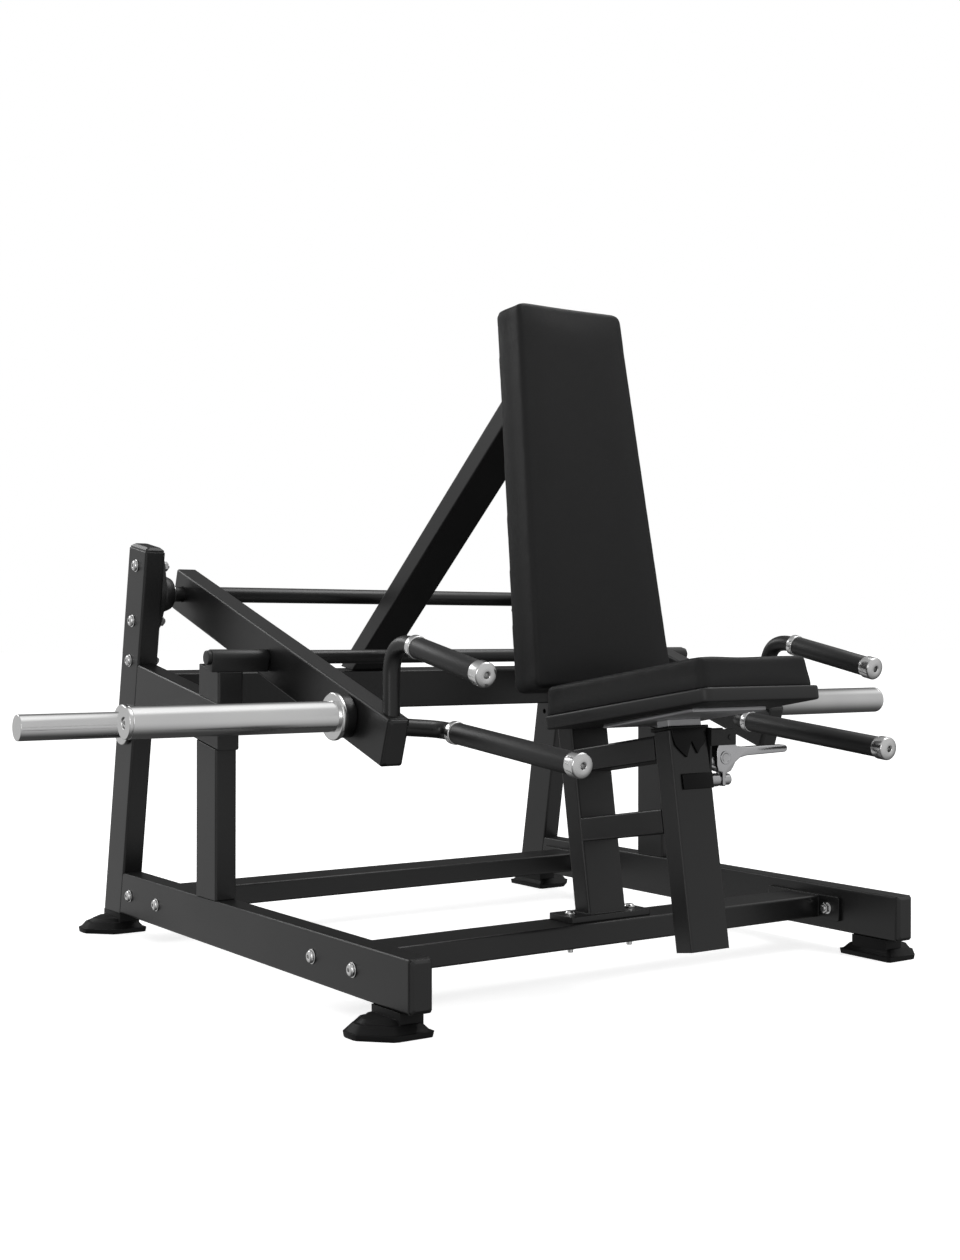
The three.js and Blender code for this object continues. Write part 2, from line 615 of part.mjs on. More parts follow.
add('seat_plate', 'zinc', plate.translate(seatDown.clone().multiplyScalar(SEAT_PLATE / 2).toArray()));

const tubeGap = 0.8;
const slideWidth = TUBE_WIDE - 2 * GUIDE_WALL - 2 * tubeGap;
const slideHeight = TUBE_NARROW - 2 * GUIDE_WALL - 2 * tubeGap;
const plateBottom = below(plateTop + SEAT_PLATE + GAP);
const slideTop = guideTop.clone().addScaledVector(tiltUp, plateBottom.clone().sub(guideTop).dot(tiltUp));
const slideBottom = slideTop.clone().addScaledVector(tiltUp, -250);
let slide = tube(slideBottom, slideTop, slideWidth, slideHeight, []);
for (let i = 0; i < SEAT_HOLES; i += 1) {
  const drop = -i * SEAT_PITCH;
  slide = slide.subtract(rodX(20, 60, pinY + drop * Math.sin(TILT), PIN_Z + drop * Math.cos(TILT), 5.9, 8));
}
add('seat_tube', 'zinc', slide);

// ---------------------------------------------------------------- release lever and lock pin
const [leverX, leverZ] = LEVER_PIVOT;
const guideFace = TUBE_WIDE / 2 + GAP;
const earGap = 13;
const ears = [-1, 1].map((s) => {
  const ear = box((guideFace + leverX + 14) / 2, pinY + s * (earGap + 2.5), leverZ,
    leverX + 14 - guideFace, 5, 26);
  return ear;
});
const web = box(guideFace + 2, pinY, (leverZ + PIN_Z) / 2, 4, 30, leverZ - PIN_Z + 32);
const hingePin = solid(moved(new THREE.CylinderGeometry(4, 4, 2 * earGap + 14, 12), leverX, pinY, leverZ));
const lockHousing = rodX(guideFace, PIN_KNOB - 9, pinY, PIN_Z, 11, 16);
const stemBore = rodX(guideFace - 20, 80, pinY, PIN_Z, 5.7, 12);
add('lever_bracket', 'chrome', join(web, ...ears, hingePin, lockHousing).subtract(stemBore));

const pinRod = rodX(PIN_TIP, PIN_KNOB + 2, pinY, PIN_Z, 5, 12);
const pinKnob = rodX(PIN_KNOB, PIN_KNOB + 16, pinY, PIN_Z, 9.5, 16);
add('lock_pin', 'steel', join(pinRod, pinKnob));

// The lever hangs from its pivot. Its finger draws the pin out when the arm is lifted.
const hub = solid(moved(new THREE.CylinderGeometry(11, 11, 2 * earGap - 2, 16), leverX, pinY, leverZ));
const bodyLow = new THREE.Vector3(leverX - 2, pinY, 357);
const bodyHigh = new THREE.Vector3(leverX - 2, pinY, leverZ - 8);
const body = bar(bodyLow, bodyHigh, 36, 22, 5);
const finger = box(PIN_KNOB - 4, pinY, PIN_Z + 2, 4, 18, 26);
const yAxis = new THREE.Vector3(0, 1, 0);
const armRoot = new THREE.Vector3(leverX + 10, pinY, 383);
const armTip = new THREE.Vector3(219, pinY, 387);
const handle = bar(armRoot, armTip, 13, 13, 5, yAxis);
const gusset = bar(armRoot, new THREE.Vector3(leverX + 40, pinY, 385), 12, 24, 5, yAxis);
const eye = solid(moved(new THREE.CylinderGeometry(4.5, 4.5, 60, 12), leverX, pinY, leverZ));
const stemHole = rodX(50, PIN_KNOB + 6, pinY, PIN_Z, 7, 12);
add('release_lever', 'chrome', join(hub, body, finger, handle, gusset).subtract(eye).subtract(stemHole));

// ---------------------------------------------------------------- yoke
const armOuter = ARM_X + TUBE_NARROW / 2;
add('pivot_tube', 'frame', rodX(-484, 484, FRONT + PIVOT_Y, PIVOT_Z, PIVOT_R, 24));

// A round handle tube swept along a path with one bend.
function handleTube(start, corner, end, bend) {
  const first = new THREE.Vector3().subVectors(start, corner).normalize();
  const second = new THREE.Vector3().subVectors(end, corner).normalize();
  const a = corner.clone().addScaledVector(first, bend);
  const b = corner.clone().addScaledVector(second, bend);
  const path = new THREE.CurvePath();
  path.add(new THREE.LineCurve3(start, a));
  path.add(new THREE.QuadraticBezierCurve3(a, corner.clone().lerp(a.clone().lerp(b, 0.5), 0.12), b));
  path.add(new THREE.LineCurve3(b, end));
  const ring = new THREE.Shape().absarc(0, 0, HANDLE_R, 0, 2 * Math.PI, false);
  return solid(new THREE.ExtrudeGeometry(ring, {
    steps: 18, bevelEnabled: false, curveSegments: 6, extrudePath: path,
  }));
}

function gripDirection(fall) {
  return new THREE.Vector3(0, -Math.cos(fall), -Math.sin(fall));
}

// A rubber grip with a collar at its root and a cap over the tube's end.
function gripBody(grip, side) {
  const l = grip.length;
  const capStart = l - 21;
  const profile = [
    [GRIP_R + 1.5, 0], [GRIP_R + 1.5, 7], [GRIP_R, 7.5], [GRIP_R, capStart], [GRIP_R + 1.8, capStart + 0.5],
    [GRIP_R + 1.8, l - 4], [GRIP_R - 2, l], [0, l], [0, 66], [HANDLE_R + 0.8, 66], [HANDLE_R + 0.8, 0],
    [GRIP_R + 1.5, 0],
  ].map(([r, along]) => new THREE.Vector2(r, along));
  const geometry = new THREE.LatheGeometry(profile, 20);
  const direction = gripDirection(grip.fall);
  const turn = new THREE.Quaternion().setFromUnitVectors(new THREE.Vector3(0, 1, 0), direction);
  geometry.applyQuaternion(turn);
  const p = at(side * grip.x, grip.y, grip.z);
  return solid(moved(geometry, p.x, p.y, p.z));
}

for (const [name, side] of sides) {
  const x = side * ARM_X;
  let arm = tube(armPoint(x, -ARM_REAR), armPoint(x, ARM_FRONT), TUBE_NARROW, TUBE_WIDE, ['start', 'end']);

  arm = arm.add(endCap(armPoint(x, ARM_FRONT - 0.2), armForward, TUBE_NARROW, TUBE_WIDE, 6));
  const armTop = new THREE.Vector3(0, -Math.sin(ARM_SLOPE), Math.cos(ARM_SLOPE));
  const topPlane = armPoint(x, 0).addScaledVector(armTop, TUBE_WIDE / 2 + GAP);
  const upperAxis = gripDirection(UPPER_GRIP.fall);
  const upperStart = at(side * UPPER_GRIP.x, UPPER_GRIP.y, UPPER_GRIP.z);
  const upperCorner = upperStart.clone().addScaledVector(upperAxis, -66 / Math.cos(UPPER_GRIP.fall));
  const upperFoot = upperCorner.clone().setZ(430);
  const upperEnd = upperStart.clone().addScaledVector(upperAxis, 64);
  const upperHandle = handleTube(upperFoot, upperCorner, upperEnd, 58);
  add(`handle_upper_${name}`, 'frame', keep(upperHandle, armTop, topPlane));

  const lowerAxis = gripDirection(LOWER_GRIP.fall);
  const lowerStart = at(side * LOWER_GRIP.x, LOWER_GRIP.y, LOWER_GRIP.z);
  const lowerCorner = lowerStart.clone().addScaledVector(lowerAxis, -33 / Math.cos(LOWER_GRIP.fall));
  const lowerFoot = lowerCorner.clone().setX(side * (ARM_X + 4)).setZ(lowerCorner.z + 8);
  const lowerEnd = lowerStart.clone().addScaledVector(lowerAxis, 64);
  const lowerHandle = handleTube(lowerFoot, lowerCorner, lowerEnd, 27);
  const innerFace = at(side * (ARM_X - TUBE_NARROW / 2 - GAP), 0, 0);
  add(`handle_lower_${name}`, 'frame', keep(lowerHandle, new THREE.Vector3(-side, 0, 0), innerFace));

  const pivot = armPoint(x, 0);
  const stop = armPoint(x, STOP_BAR_ALONG);
  arm = arm.subtract(rodX(x - 40, x + 40, pivot.y, pivot.z, PIVOT_R + 0.5, 16));
  arm = arm.subtract(rodX(x - 40, x + 40, stop.y, stop.z, STOP_BAR_R + 0.5, 16));
  add(`arm_${name}`, 'frame', arm);
  add(`grip_upper_${name}`, 'rubber', gripBody(UPPER_GRIP, side));
  add(`grip_lower_${name}`, 'rubber', gripBody(LOWER_GRIP, side));

  // Weight horn: black hub, bright flange and a 50 mm plate sleeve, turned in one piece.
  const horn = armPoint(x, HORN_ALONG);
  const face = armOuter + GAP;
  const length = HORN_END - face;
  const profile = [
    [0, 0], [35, 0], [35, 20], [FLANGE_R - 2, 20], [FLANGE_R, 22], [FLANGE_R, 26], [FLANGE_R - 3, 29],
    [SLEEVE_R, 29], [SLEEVE_R, length - 3], [SLEEVE_R - 3, length], [0, length],
  ];
  add(`weight_horn_${name}`, 'steel', turnedX(profile, side, side * face, horn.y, horn.z, 28));
}

// Stop bar through both arms, with a rubber bumper under each end.
const stopCentre = armPoint(0, STOP_BAR_ALONG);
let stopBar = rodX(-STOP_BAR_HALF, STOP_BAR_HALF, stopCentre.y, stopCentre.z, STOP_BAR_R, 24);
for (const [, side] of sides) {
  const from = armOuter + 2;
  const to = STOP_BAR_HALF - 7;
  const centre = stopCentre.clone().addScaledVector(sideUp, -(STOP_BAR_R + BUMPER_THICK) / 2);
  const p0 = centre.clone().setX(side * from);
  const p1 = centre.clone().setX(side * to);
  const across = sideForward.clone().multiplyScalar(side);
  stopBar = stopBar.add(bar(p0, p1, 24, STOP_BAR_R + BUMPER_THICK, 2, across));
}
add('stop_bar', 'frame', stopBar);

export default root;
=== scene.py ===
"""Looks of a plate-loaded seated shrug machine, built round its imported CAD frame. Metres, +Z up, -Y front."""

import json
import math

import bmesh
import bpy
import numpy as np
from mathutils import Matrix, Vector


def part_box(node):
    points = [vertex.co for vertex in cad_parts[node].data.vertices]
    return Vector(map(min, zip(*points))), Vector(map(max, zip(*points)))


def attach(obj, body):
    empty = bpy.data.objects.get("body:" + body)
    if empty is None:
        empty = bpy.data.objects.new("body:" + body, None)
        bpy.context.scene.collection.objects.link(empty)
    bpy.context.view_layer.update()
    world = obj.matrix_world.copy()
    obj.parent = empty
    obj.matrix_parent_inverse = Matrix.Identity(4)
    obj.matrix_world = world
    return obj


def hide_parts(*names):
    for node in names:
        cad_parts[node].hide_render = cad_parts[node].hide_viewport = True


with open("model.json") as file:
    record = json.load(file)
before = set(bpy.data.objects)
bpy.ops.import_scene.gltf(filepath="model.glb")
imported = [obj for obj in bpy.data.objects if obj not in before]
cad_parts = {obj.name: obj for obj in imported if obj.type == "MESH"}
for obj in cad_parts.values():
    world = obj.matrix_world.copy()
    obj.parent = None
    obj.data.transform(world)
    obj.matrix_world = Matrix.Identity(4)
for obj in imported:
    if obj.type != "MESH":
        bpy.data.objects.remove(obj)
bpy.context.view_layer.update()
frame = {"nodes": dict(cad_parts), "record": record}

# ---------------------------------------------------------------- dimensions
SIDES = {"left": 1, "right": -1}
TILT = math.radians(9.2)  # seat, backrest and their columns lean back
UPRIGHT_LEAN = math.radians(9.8)  # uprights lean forward
SIDE_SLOPE = math.radians(10)  # side beams fall towards the front
FACE_GAP = 0.0003  # between pieces that rest on each other
FLANGE_PLATE = 0.006  # thickness of the cross beams' end plates

# Bolts and plate sleeves.
SHANK_R, NUT_R, WASHER_R, HEAD_R, SOCKET_R = 0.005, 0.0094, 0.0117, 0.0102, 0.0032
SLEEVE_R, FLANGE_R, FLANGE_THICKNESS = 0.025, 0.039, 0.009
HUB_R, HUB_LENGTH = 0.035, 0.020
SLEEVE_BORE_R, SLEEVE_BORE_DEPTH = 0.0085, 0.0060

# Grips fall towards the front. A handle runs straight back from its grip and then bends towards the arm.
UPPER_FALL, UPPER_LENGTH, UPPER_BEND, UPPER_RUN_BACK = math.radians(11.7), 0.203, 0.058, 0.066
LOWER_FALL, LOWER_LENGTH, LOWER_BEND, LOWER_RUN_BACK = math.radians(5.4), 0.336, 0.027, 0.033
HANDLE_R, GRIP_R, CAP_R = 0.014, 0.0172, 0.0192
HANDLE_IN_GRIP = 0.06
COLLAR, CAP = 0.012, 0.026  # lengths of a grip's collar and end cap
CAP_BORE_R, CAP_BORE_DEPTH = 0.0046, 0.015
ARM_TOP_AT_HANDLE = 0.446

# Pivot, bearings and stop bar.
PIVOT_R, STOP_BAR_R = 0.015, 0.0125
BEARING_HALF_PITCH, EAR_R, WAIST_R, BEARING_FLANGE = 0.053, 0.016, 0.034, 0.013
DOME_R, DOME_HEIGHT, RING_R, RING_HEIGHT = 0.0355, 0.034, 0.0215, 0.0365
BUMPER_FROM, BUMPER_TO = 0.430, 0.538  # distances from the middle plane
BUMPER_R, BUMPER_HALF, BUMPER_DROP = 0.0145, 0.0135, 0.0232

# Lock, release lever and seat guide. The lever's hub is placed from the edges of its CAD box.
LOCK_HOUSING_TOP = 0.362
KNOB_LENGTH = 0.016
HUB_FROM_EDGE, HUB_FROM_TOP, LEVER_HUB_R, LEVER_THICKNESS = 0.020, 0.011, 0.0115, 0.018
LEVER_TIP_R, LEVER_TIP_DROP = 0.006, 0.024
BUSH_WIDTH, BUSH_DEPTH, BUSH_WALL, BUSH_HEIGHT = 0.0846, 0.0446, 0.0115, 0.006
GUIDE_HALF_DEPTH = 0.0201

# The cushions' cloth simulation.
CLOTH_FRAMES, CLOTH_PRESSURE, CLOTH_BENDING = 20, 4, 4
EVENING_ROUNDS = 40

# The camera stands where the photographer stood. Angles are in radians, the lens in millimetres.
CAMERA = Vector((-1.7882, -2.4948, 0.5816))
CAMERA_YAW, CAMERA_PITCH, CAMERA_ROLL = 0.6039, 0.0014, 0.0016
FOCAL_LENGTH, SENSOR = 47.74, 36.0

X_AXIS = Vector((1, 0, 0))
pad_up = Vector((0, math.sin(TILT), math.cos(TILT)))
pad_back = Vector((0, math.cos(TILT), -math.sin(TILT)))


def middle(node):
    low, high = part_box(node)
    return (low + high) / 2


# ---------------------------------------------------------------- materials
def shader_nodes(name):
    material = bpy.data.materials.new(name)
    material.use_nodes = True
    tree = material.node_tree
    return material, tree, tree.nodes["Principled BSDF"]


def texture(tree, kind, scale, stretch=(1, 1, 1), **settings):
    """A procedural texture in the object's own coordinates, with features 1 / scale metres across."""
    coordinates = tree.nodes.new("ShaderNodeTexCoord")
    mapping = tree.nodes.new("ShaderNodeMapping")
    mapping.inputs["Scale"].default_value = stretch
    node = tree.nodes.new(kind)
    node.inputs["Scale"].default_value = scale
    for socket, value in settings.items():
        node.inputs[socket].default_value = value
    tree.links.new(coordinates.outputs["Object"], mapping.inputs["Vector"])
    tree.links.new(mapping.outputs["Vector"], node.inputs["Vector"])
    return node


def spread(tree, source, low, high):
    """Maps a 0 to 1 texture value onto the range low to high."""
    node = tree.nodes.new("ShaderNodeMapRange")
    node.inputs["From Min"].default_value = 0.25
    node.inputs["From Max"].default_value = 0.75
    node.inputs["To Min"].default_value = low
    node.inputs["To Max"].default_value = high
    tree.links.new(source, node.inputs["Value"])
    return node.outputs["Result"]


def two_tone(tree, source, dark, light):
    ramp = tree.nodes.new("ShaderNodeValToRGB")
    ramp.color_ramp.elements[0].position = 0.3
    ramp.color_ramp.elements[0].color = (*dark, 1)
    ramp.color_ramp.elements[1].position = 0.7
    ramp.color_ramp.elements[1].color = (*light, 1)
    tree.links.new(source, ramp.inputs["Fac"])
    return ramp.outputs["Color"]


def bump(tree, source, depth, strength, normal=None):
    node = tree.nodes.new("ShaderNodeBump")
    node.inputs["Distance"].default_value = depth
    node.inputs["Strength"].default_value = strength
    tree.links.new(source, node.inputs["Height"])
    if normal is not None:
        tree.links.new(normal, node.inputs["Normal"])
    return node.outputs["Normal"]


def grained(name, dark, light, rough, metallic, grain, depth, strength, stretch=(1, 1, 1),
            round_edges=0.0, specular=0.5):
    """A finish whose colour and roughness drift slowly, over a fine surface grain."""
    material, tree, principled = shader_nodes(name)
    patches = texture(tree, "ShaderNodeTexNoise", 9, Detail=3)
    tree.links.new(two_tone(tree, patches.outputs["Fac"], dark, light), principled.inputs["Base Color"])
    tree.links.new(spread(tree, patches.outputs["Fac"], *rough), principled.inputs["Roughness"])
    fine = texture(tree, "ShaderNodeTexNoise", grain, stretch, Detail=4)
    normal = None
    if round_edges:
        bevel = tree.nodes.new("ShaderNodeBevel")
        bevel.samples = 6
        bevel.inputs["Radius"].default_value = round_edges
        normal = bevel.outputs["Normal"]
    tree.links.new(bump(tree, fine.outputs["Fac"], depth, strength, normal), principled.inputs["Normal"])
    principled.inputs["Metallic"].default_value = metallic
    principled.inputs["Specular IOR Level"].default_value = specular
    return material


def vinyl(name):
    """Upholstery vinyl: small raised cells, fine creases between them and a soft satin gloss."""
    material, tree, principled = shader_nodes(name)
    wobble = texture(tree, "ShaderNodeTexNoise", 180, Detail=3)
    cells = texture(tree, "ShaderNodeTexVoronoi", 620)
    cells.feature = "DISTANCE_TO_EDGE"
    mix = tree.nodes.new("ShaderNodeMix")
    mix.data_type = "RGBA"
    mix.inputs["Factor"].default_value = 0.012
    source = cells.inputs["Vector"].links[0].from_socket
    tree.links.new(source, mix.inputs["A"])
    tree.links.new(wobble.outputs["Color"], mix.inputs["B"])
    tree.links.new(mix.outputs["Result"], cells.inputs["Vector"])
    creases = tree.nodes.new("ShaderNodeMapRange")
    creases.inputs["From Max"].default_value = 0.22
    tree.links.new(cells.outputs["Distance"], creases.inputs["Value"])
    pores = texture(tree, "ShaderNodeTexNoise", 1400, Detail=2)
    patches = texture(tree, "ShaderNodeTexNoise", 12, Detail=4)
    tree.links.new(two_tone(tree, patches.outputs["Fac"], (0.006, 0.006, 0.0063), (0.009, 0.009, 0.0094)),
                   principled.inputs["Base Color"])
    tree.links.new(spread(tree, patches.outputs["Fac"], 0.46, 0.58), principled.inputs["Roughness"])
    first = bump(tree, creases.outputs["Result"], 0.00016, 0.55)
    tree.links.new(bump(tree, pores.outputs["Fac"], 0.00008, 0.3, first), principled.inputs["Normal"])
    principled.inputs["Specular IOR Level"].default_value = 0.27
    return material


def grey(value):
    """A near black, a touch cooler than neutral."""
    return value, value, value * 1.02


# Per finish: darkest and lightest colour, roughness range, metallic, then the grain's scale, depth, strength.
FINISHES = {
    "powder_coat": grained("powder_coat", grey(0.006), grey(0.009), (0.30, 0.37), 0.0, 900, 0.00012, 0.28,
                           round_edges=0.0022),
    "bright_steel": grained("bright_steel", (0.70, 0.70, 0.70), (0.76, 0.76, 0.755), (0.16, 0.22), 1.0, 40,
                            0.00003, 0.15, stretch=(40, 1, 1)),
    "rubber_grip": grained("rubber_grip", grey(0.007), grey(0.011), (0.40, 0.48), 0.0, 1100, 0.0002, 0.35),
    "rubber_foot": grained("rubber_foot", grey(0.004), grey(0.007), (0.46, 0.56), 0.0, 700, 0.0002, 0.35,
                           specular=0.18),
    "cast_housing": grained("cast_housing", grey(0.006), grey(0.011), (0.42, 0.55), 0.0, 420, 0.0004, 0.5),
    "vinyl": vinyl("vinyl"),
    "seat_board": grained("seat_board", grey(0.010), grey(0.014), (0.42, 0.52), 0.0, 1300, 0.0001, 0.4),
    "zinc_steel": grained("zinc_steel", (0.42, 0.42, 0.43), (0.50, 0.50, 0.51), (0.34, 0.44), 0.55, 700,
                          0.0001, 0.3, round_edges=0.0015),
    "chrome": grained("chrome", (0.50, 0.50, 0.51), (0.58, 0.58, 0.59), (0.10, 0.17), 1.0, 90, 0.0004, 0.5),
    "plastic": grained("plastic", grey(0.0022), grey(0.0034), (0.22, 0.30), 0.0, 1200, 0.0001, 0.3,
                       specular=0.16),
}


# ---------------------------------------------------------------- making pieces
def add_piece(name, mesh, finish, body, replaces=(), sharp=35):
    """Shows a mesh as one piece on its body. Edges over `sharp` degrees stay crisp."""
    piece = bpy.data.objects.new(name, mesh)
    bpy.context.scene.collection.objects.link(piece)
    mesh.polygons.foreach_set("use_smooth", [True] * len(mesh.polygons))
    mesh.set_sharp_from_angle(angle=math.radians(sharp))
    mesh.materials.clear()
    mesh.materials.append(FINISHES[finish])
    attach(piece, body)
    if replaces:
        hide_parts(*replaces)
    return piece


def mesh_of(name, vertices, faces):
    mesh = bpy.data.meshes.new(name)
    mesh.from_pydata(vertices, [], faces)
    mesh.update()
    return mesh


def apply_modifiers(piece):
    """Gives a piece the mesh that its modifiers make, and returns that mesh."""
    depsgraph = bpy.context.evaluated_depsgraph_get()
    made = bpy.data.meshes.new_from_object(piece.evaluated_get(depsgraph))
    piece.modifiers.clear()
    piece.data = made
    return made


def hexagon(angle):
    """Radius of a hexagon at an angle, as a share of its corner radius."""
    sector = math.radians(60)
    return math.cos(sector / 2) / math.cos(angle % sector - sector / 2)


def turned(name, profile, origin, axis, finish, body, replaces=(), segments=48, sharp=35):
    """A solid of revolution. Each profile point is (radius, distance along the axis) or (..., "hex")."""
    turn = Vector(axis).to_track_quat("Z", "X").to_matrix()
    vertices, rings = [], []
    for point in profile:
        radius, along = point[0], point[1]
        count = segments if radius else 1
        rings.append(range(len(vertices), len(vertices) + count))
        for k in range(count):
            angle = 2 * math.pi * k / segments
            reach = radius * (hexagon(angle) if len(point) > 2 else 1)
            local = Vector((reach * math.cos(angle), reach * math.sin(angle), along))
            vertices.append(Vector(origin) + turn @ local)
    faces = []
    for a, b in zip(rings, rings[1:]):
        for k in range(segments):
            corners = [a[k % len(a)], a[(k + 1) % len(a)], b[(k + 1) % len(b)], b[k % len(b)]]
            faces.append(list(dict.fromkeys(corners)))
    return add_piece(name, mesh_of(name, vertices, faces), finish, body, replaces, sharp)


def rounded(profile, radius, steps=4):
    """Fillets the inner corners of a lathe profile."""
    made = [profile[0]]
    for before, corner, after in zip(profile, profile[1:], profile[2:]):
        here = Vector(corner[:2])
        back, ahead = Vector(before[:2]) - here, Vector(after[:2]) - here
        reach = min(radius, back.length * 0.45, ahead.length * 0.45)
        a, b = here + back.normalized() * reach, here + ahead.normalized() * reach
        for k in range(steps + 1):
            t = k / steps
            made.append(tuple(a * (1 - t) ** 2 + here * 2 * t * (1 - t) + b * t ** 2))
    return made + [profile[-1]]


def bent_path(start, corner, end, bend, steps=16):
    """A path that turns at a corner, in a curve that begins `bend` metres before it."""
    a = corner + (start - corner).normalized() * bend
    b = corner + (end - corner).normalized() * bend
    control = corner.lerp((a + b) / 2, 0.12)
    shares = [k / steps for k in range(steps + 1)]
    curve = [a * (1 - t) ** 2 + control * 2 * t * (1 - t) + b * t ** 2 for t in shares]
    return [start, *curve, end]


def swept(name, path, radius, finish, body, replaces=(), segments=32):
    """A round bar along a path, closed at both ends."""
    vertices, faces = [], []
    side = None
    for i, point in enumerate(path):
        ahead = (path[min(i + 1, len(path) - 1)] - path[max(i - 1, 0)]).normalized()
        side = ahead.orthogonal() if side is None else side - ahead * side.dot(ahead)
        side.normalize()
        up = ahead.cross(side)
        for k in range(segments):
            angle = 2 * math.pi * k / segments
            vertices.append(point + (side * math.cos(angle) + up * math.sin(angle)) * radius)
    for i in range(len(path) - 1):
        for k in range(segments):
            a, b = i * segments + k, i * segments + (k + 1) % segments
            faces.append([a, b, b + segments, a + segments])
    faces.append(list(range(segments))[::-1])
    faces.append([len(vertices) - segments + k for k in range(segments)])
    return add_piece(name, mesh_of(name, vertices, faces), finish, body, replaces)


def arc(radius, first, last, step, centre=(0, 0)):
    """Points on a circle from one angle to another, in degrees."""
    angles = [math.radians(angle) for angle in range(first, last + 1, step)]
    return [(centre[0] + radius * math.cos(a), centre[1] + radius * math.sin(a)) for a in angles]


def rectangle(width, depth):
    return [(x * width / 2, y * depth / 2) for x, y in ((-1, -1), (1, -1), (1, 1), (-1, 1))]


def bevelled(mesh, width, segments=3, angle=30):
    """Rounds the sharp edges of a mesh."""
    holder = bpy.data.objects.new("bevelled", mesh)
    bpy.context.scene.collection.objects.link(holder)
    modifier = holder.modifiers.new("edges", "BEVEL")
    modifier.width = width
    modifier.segments = segments
    modifier.limit_method = "ANGLE"
    modifier.angle_limit = math.radians(angle)
    made = apply_modifiers(holder)
    bpy.data.objects.remove(holder)
    return made


def extruded(outline, thickness, origin, across, along, out, rim):
    """An outline in the plane of across and along, thickened towards out, with rims rounded by `rim`."""
    vertices = []
    for depth in (0, thickness):
        vertices += [origin + across * u + along * v + out * depth for u, v in outline]
    count = len(outline)
    faces = [list(range(count))[::-1], list(range(count, 2 * count))]
    faces += [[k, (k + 1) % count, count + (k + 1) % count, count + k] for k in range(count)]
    mesh = mesh_of("extruded", vertices, faces)
    tidy = bmesh.new()
    tidy.from_mesh(mesh)
    bmesh.ops.recalc_face_normals(tidy, faces=tidy.faces)
    tidy.to_mesh(mesh)
    tidy.free()
    return bevelled(mesh, rim)


def clean_copy(node):
    """A copy of a CAD node's mesh with its flat faces whole again."""
    mesh = frame["nodes"][node].data.copy()
    tidy = bmesh.new()
    tidy.from_mesh(mesh)
    bmesh.ops.remove_doubles(tidy, verts=tidy.verts, dist=1e-5)
    bmesh.ops.dissolve_limit(tidy, angle_limit=math.radians(1), verts=tidy.verts, edges=tidy.edges)
    tidy.to_mesh(mesh)
    tidy.free()
    return mesh


def rounded_copy(node, width, finish, body):
    """A CAD node's own shape with its sharp edges rounded, shown in its place."""
    return add_piece(f"{node}_rounded", bevelled(clean_copy(node), width), finish, body, [node])


# ---------------------------------------------------------------- upholstery
def evened(moves, edges, rounds):
    """Averages each point's move with its neighbours', which irons small creases out of the swelling."""
    for _ in range(rounds):
        total = moves.copy()
        count = np.ones(len(moves))
        for here, there in ((0, 1), (1, 0)):
            np.add.at(total, edges[:, here], moves[edges[:, there]])
            np.add.at(count, edges[:, here], 1)
        moves = total / count[:, None]
    return moves


def inflate(shape, flatten, fixed, voxel, cap, ease):
    """Remeshes a closed shape evenly and swells it as cloth under pressure.

    `fixed` says which points stay put, and `ease` how much of its move a point keeps.
    """
    scene = bpy.context.scene
    mould = bpy.data.objects.new("mould", shape)
    pad = bpy.data.objects.new("pad_in_work", shape.copy())
    scene.collection.objects.link(mould)
    scene.collection.objects.link(pad)
    remesh = pad.modifiers.new("even", "REMESH")
    remesh.mode = "VOXEL"
    remesh.voxel_size = voxel
    wrap = pad.modifiers.new("wrap", "SHRINKWRAP")
    wrap.target = mould
    soften = pad.modifiers.new("soften", "SMOOTH")
    soften.factor = 0.5
    soften.iterations = 2
    apply_modifiers(pad)
    bpy.data.objects.remove(mould)
    for vertex in pad.data.vertices:
        flatten(vertex.co)
    start = [v.co.copy() for v in pad.data.vertices]
    pinned = pad.vertex_groups.new(name="pinned")
    pinned.add([i for i, point in enumerate(start) if fixed(point)], 1.0, "REPLACE")
    cloth = pad.modifiers.new("cloth", "CLOTH")
    cloth.settings.quality = 5
    cloth.settings.bending_stiffness = CLOTH_BENDING
    cloth.settings.use_pressure = True
    cloth.settings.uniform_pressure_force = CLOTH_PRESSURE
    cloth.settings.effector_weights.gravity = 0
    cloth.settings.vertex_group_mass = "pinned"
    cloth.point_cache.frame_start = 1
    cloth.point_cache.frame_end = CLOTH_FRAMES
    for number in range(1, CLOTH_FRAMES + 1):
        scene.frame_set(number)
    depsgraph = bpy.context.evaluated_depsgraph_get()
    swollen = [v.co.copy() for v in pad.evaluated_get(depsgraph).data.vertices]
    pad.modifiers.clear()
    scene.frame_set(1)
    moves = np.array([after - before for before, after in zip(start, swollen)])
    lengths = np.linalg.norm(moves, axis=1, keepdims=True)
    moves *= np.minimum(1, cap / np.maximum(lengths, 1e-9))
    edges = np.array([edge.vertices[:] for edge in pad.data.edges])
    moves = evened(moves, edges, EVENING_ROUNDS)
    for vertex, before, move in zip(pad.data.vertices, start, moves):
        vertex.co = before + Vector(move) * ease(before)
    made = pad.data
    bpy.data.objects.remove(pad)
    return made


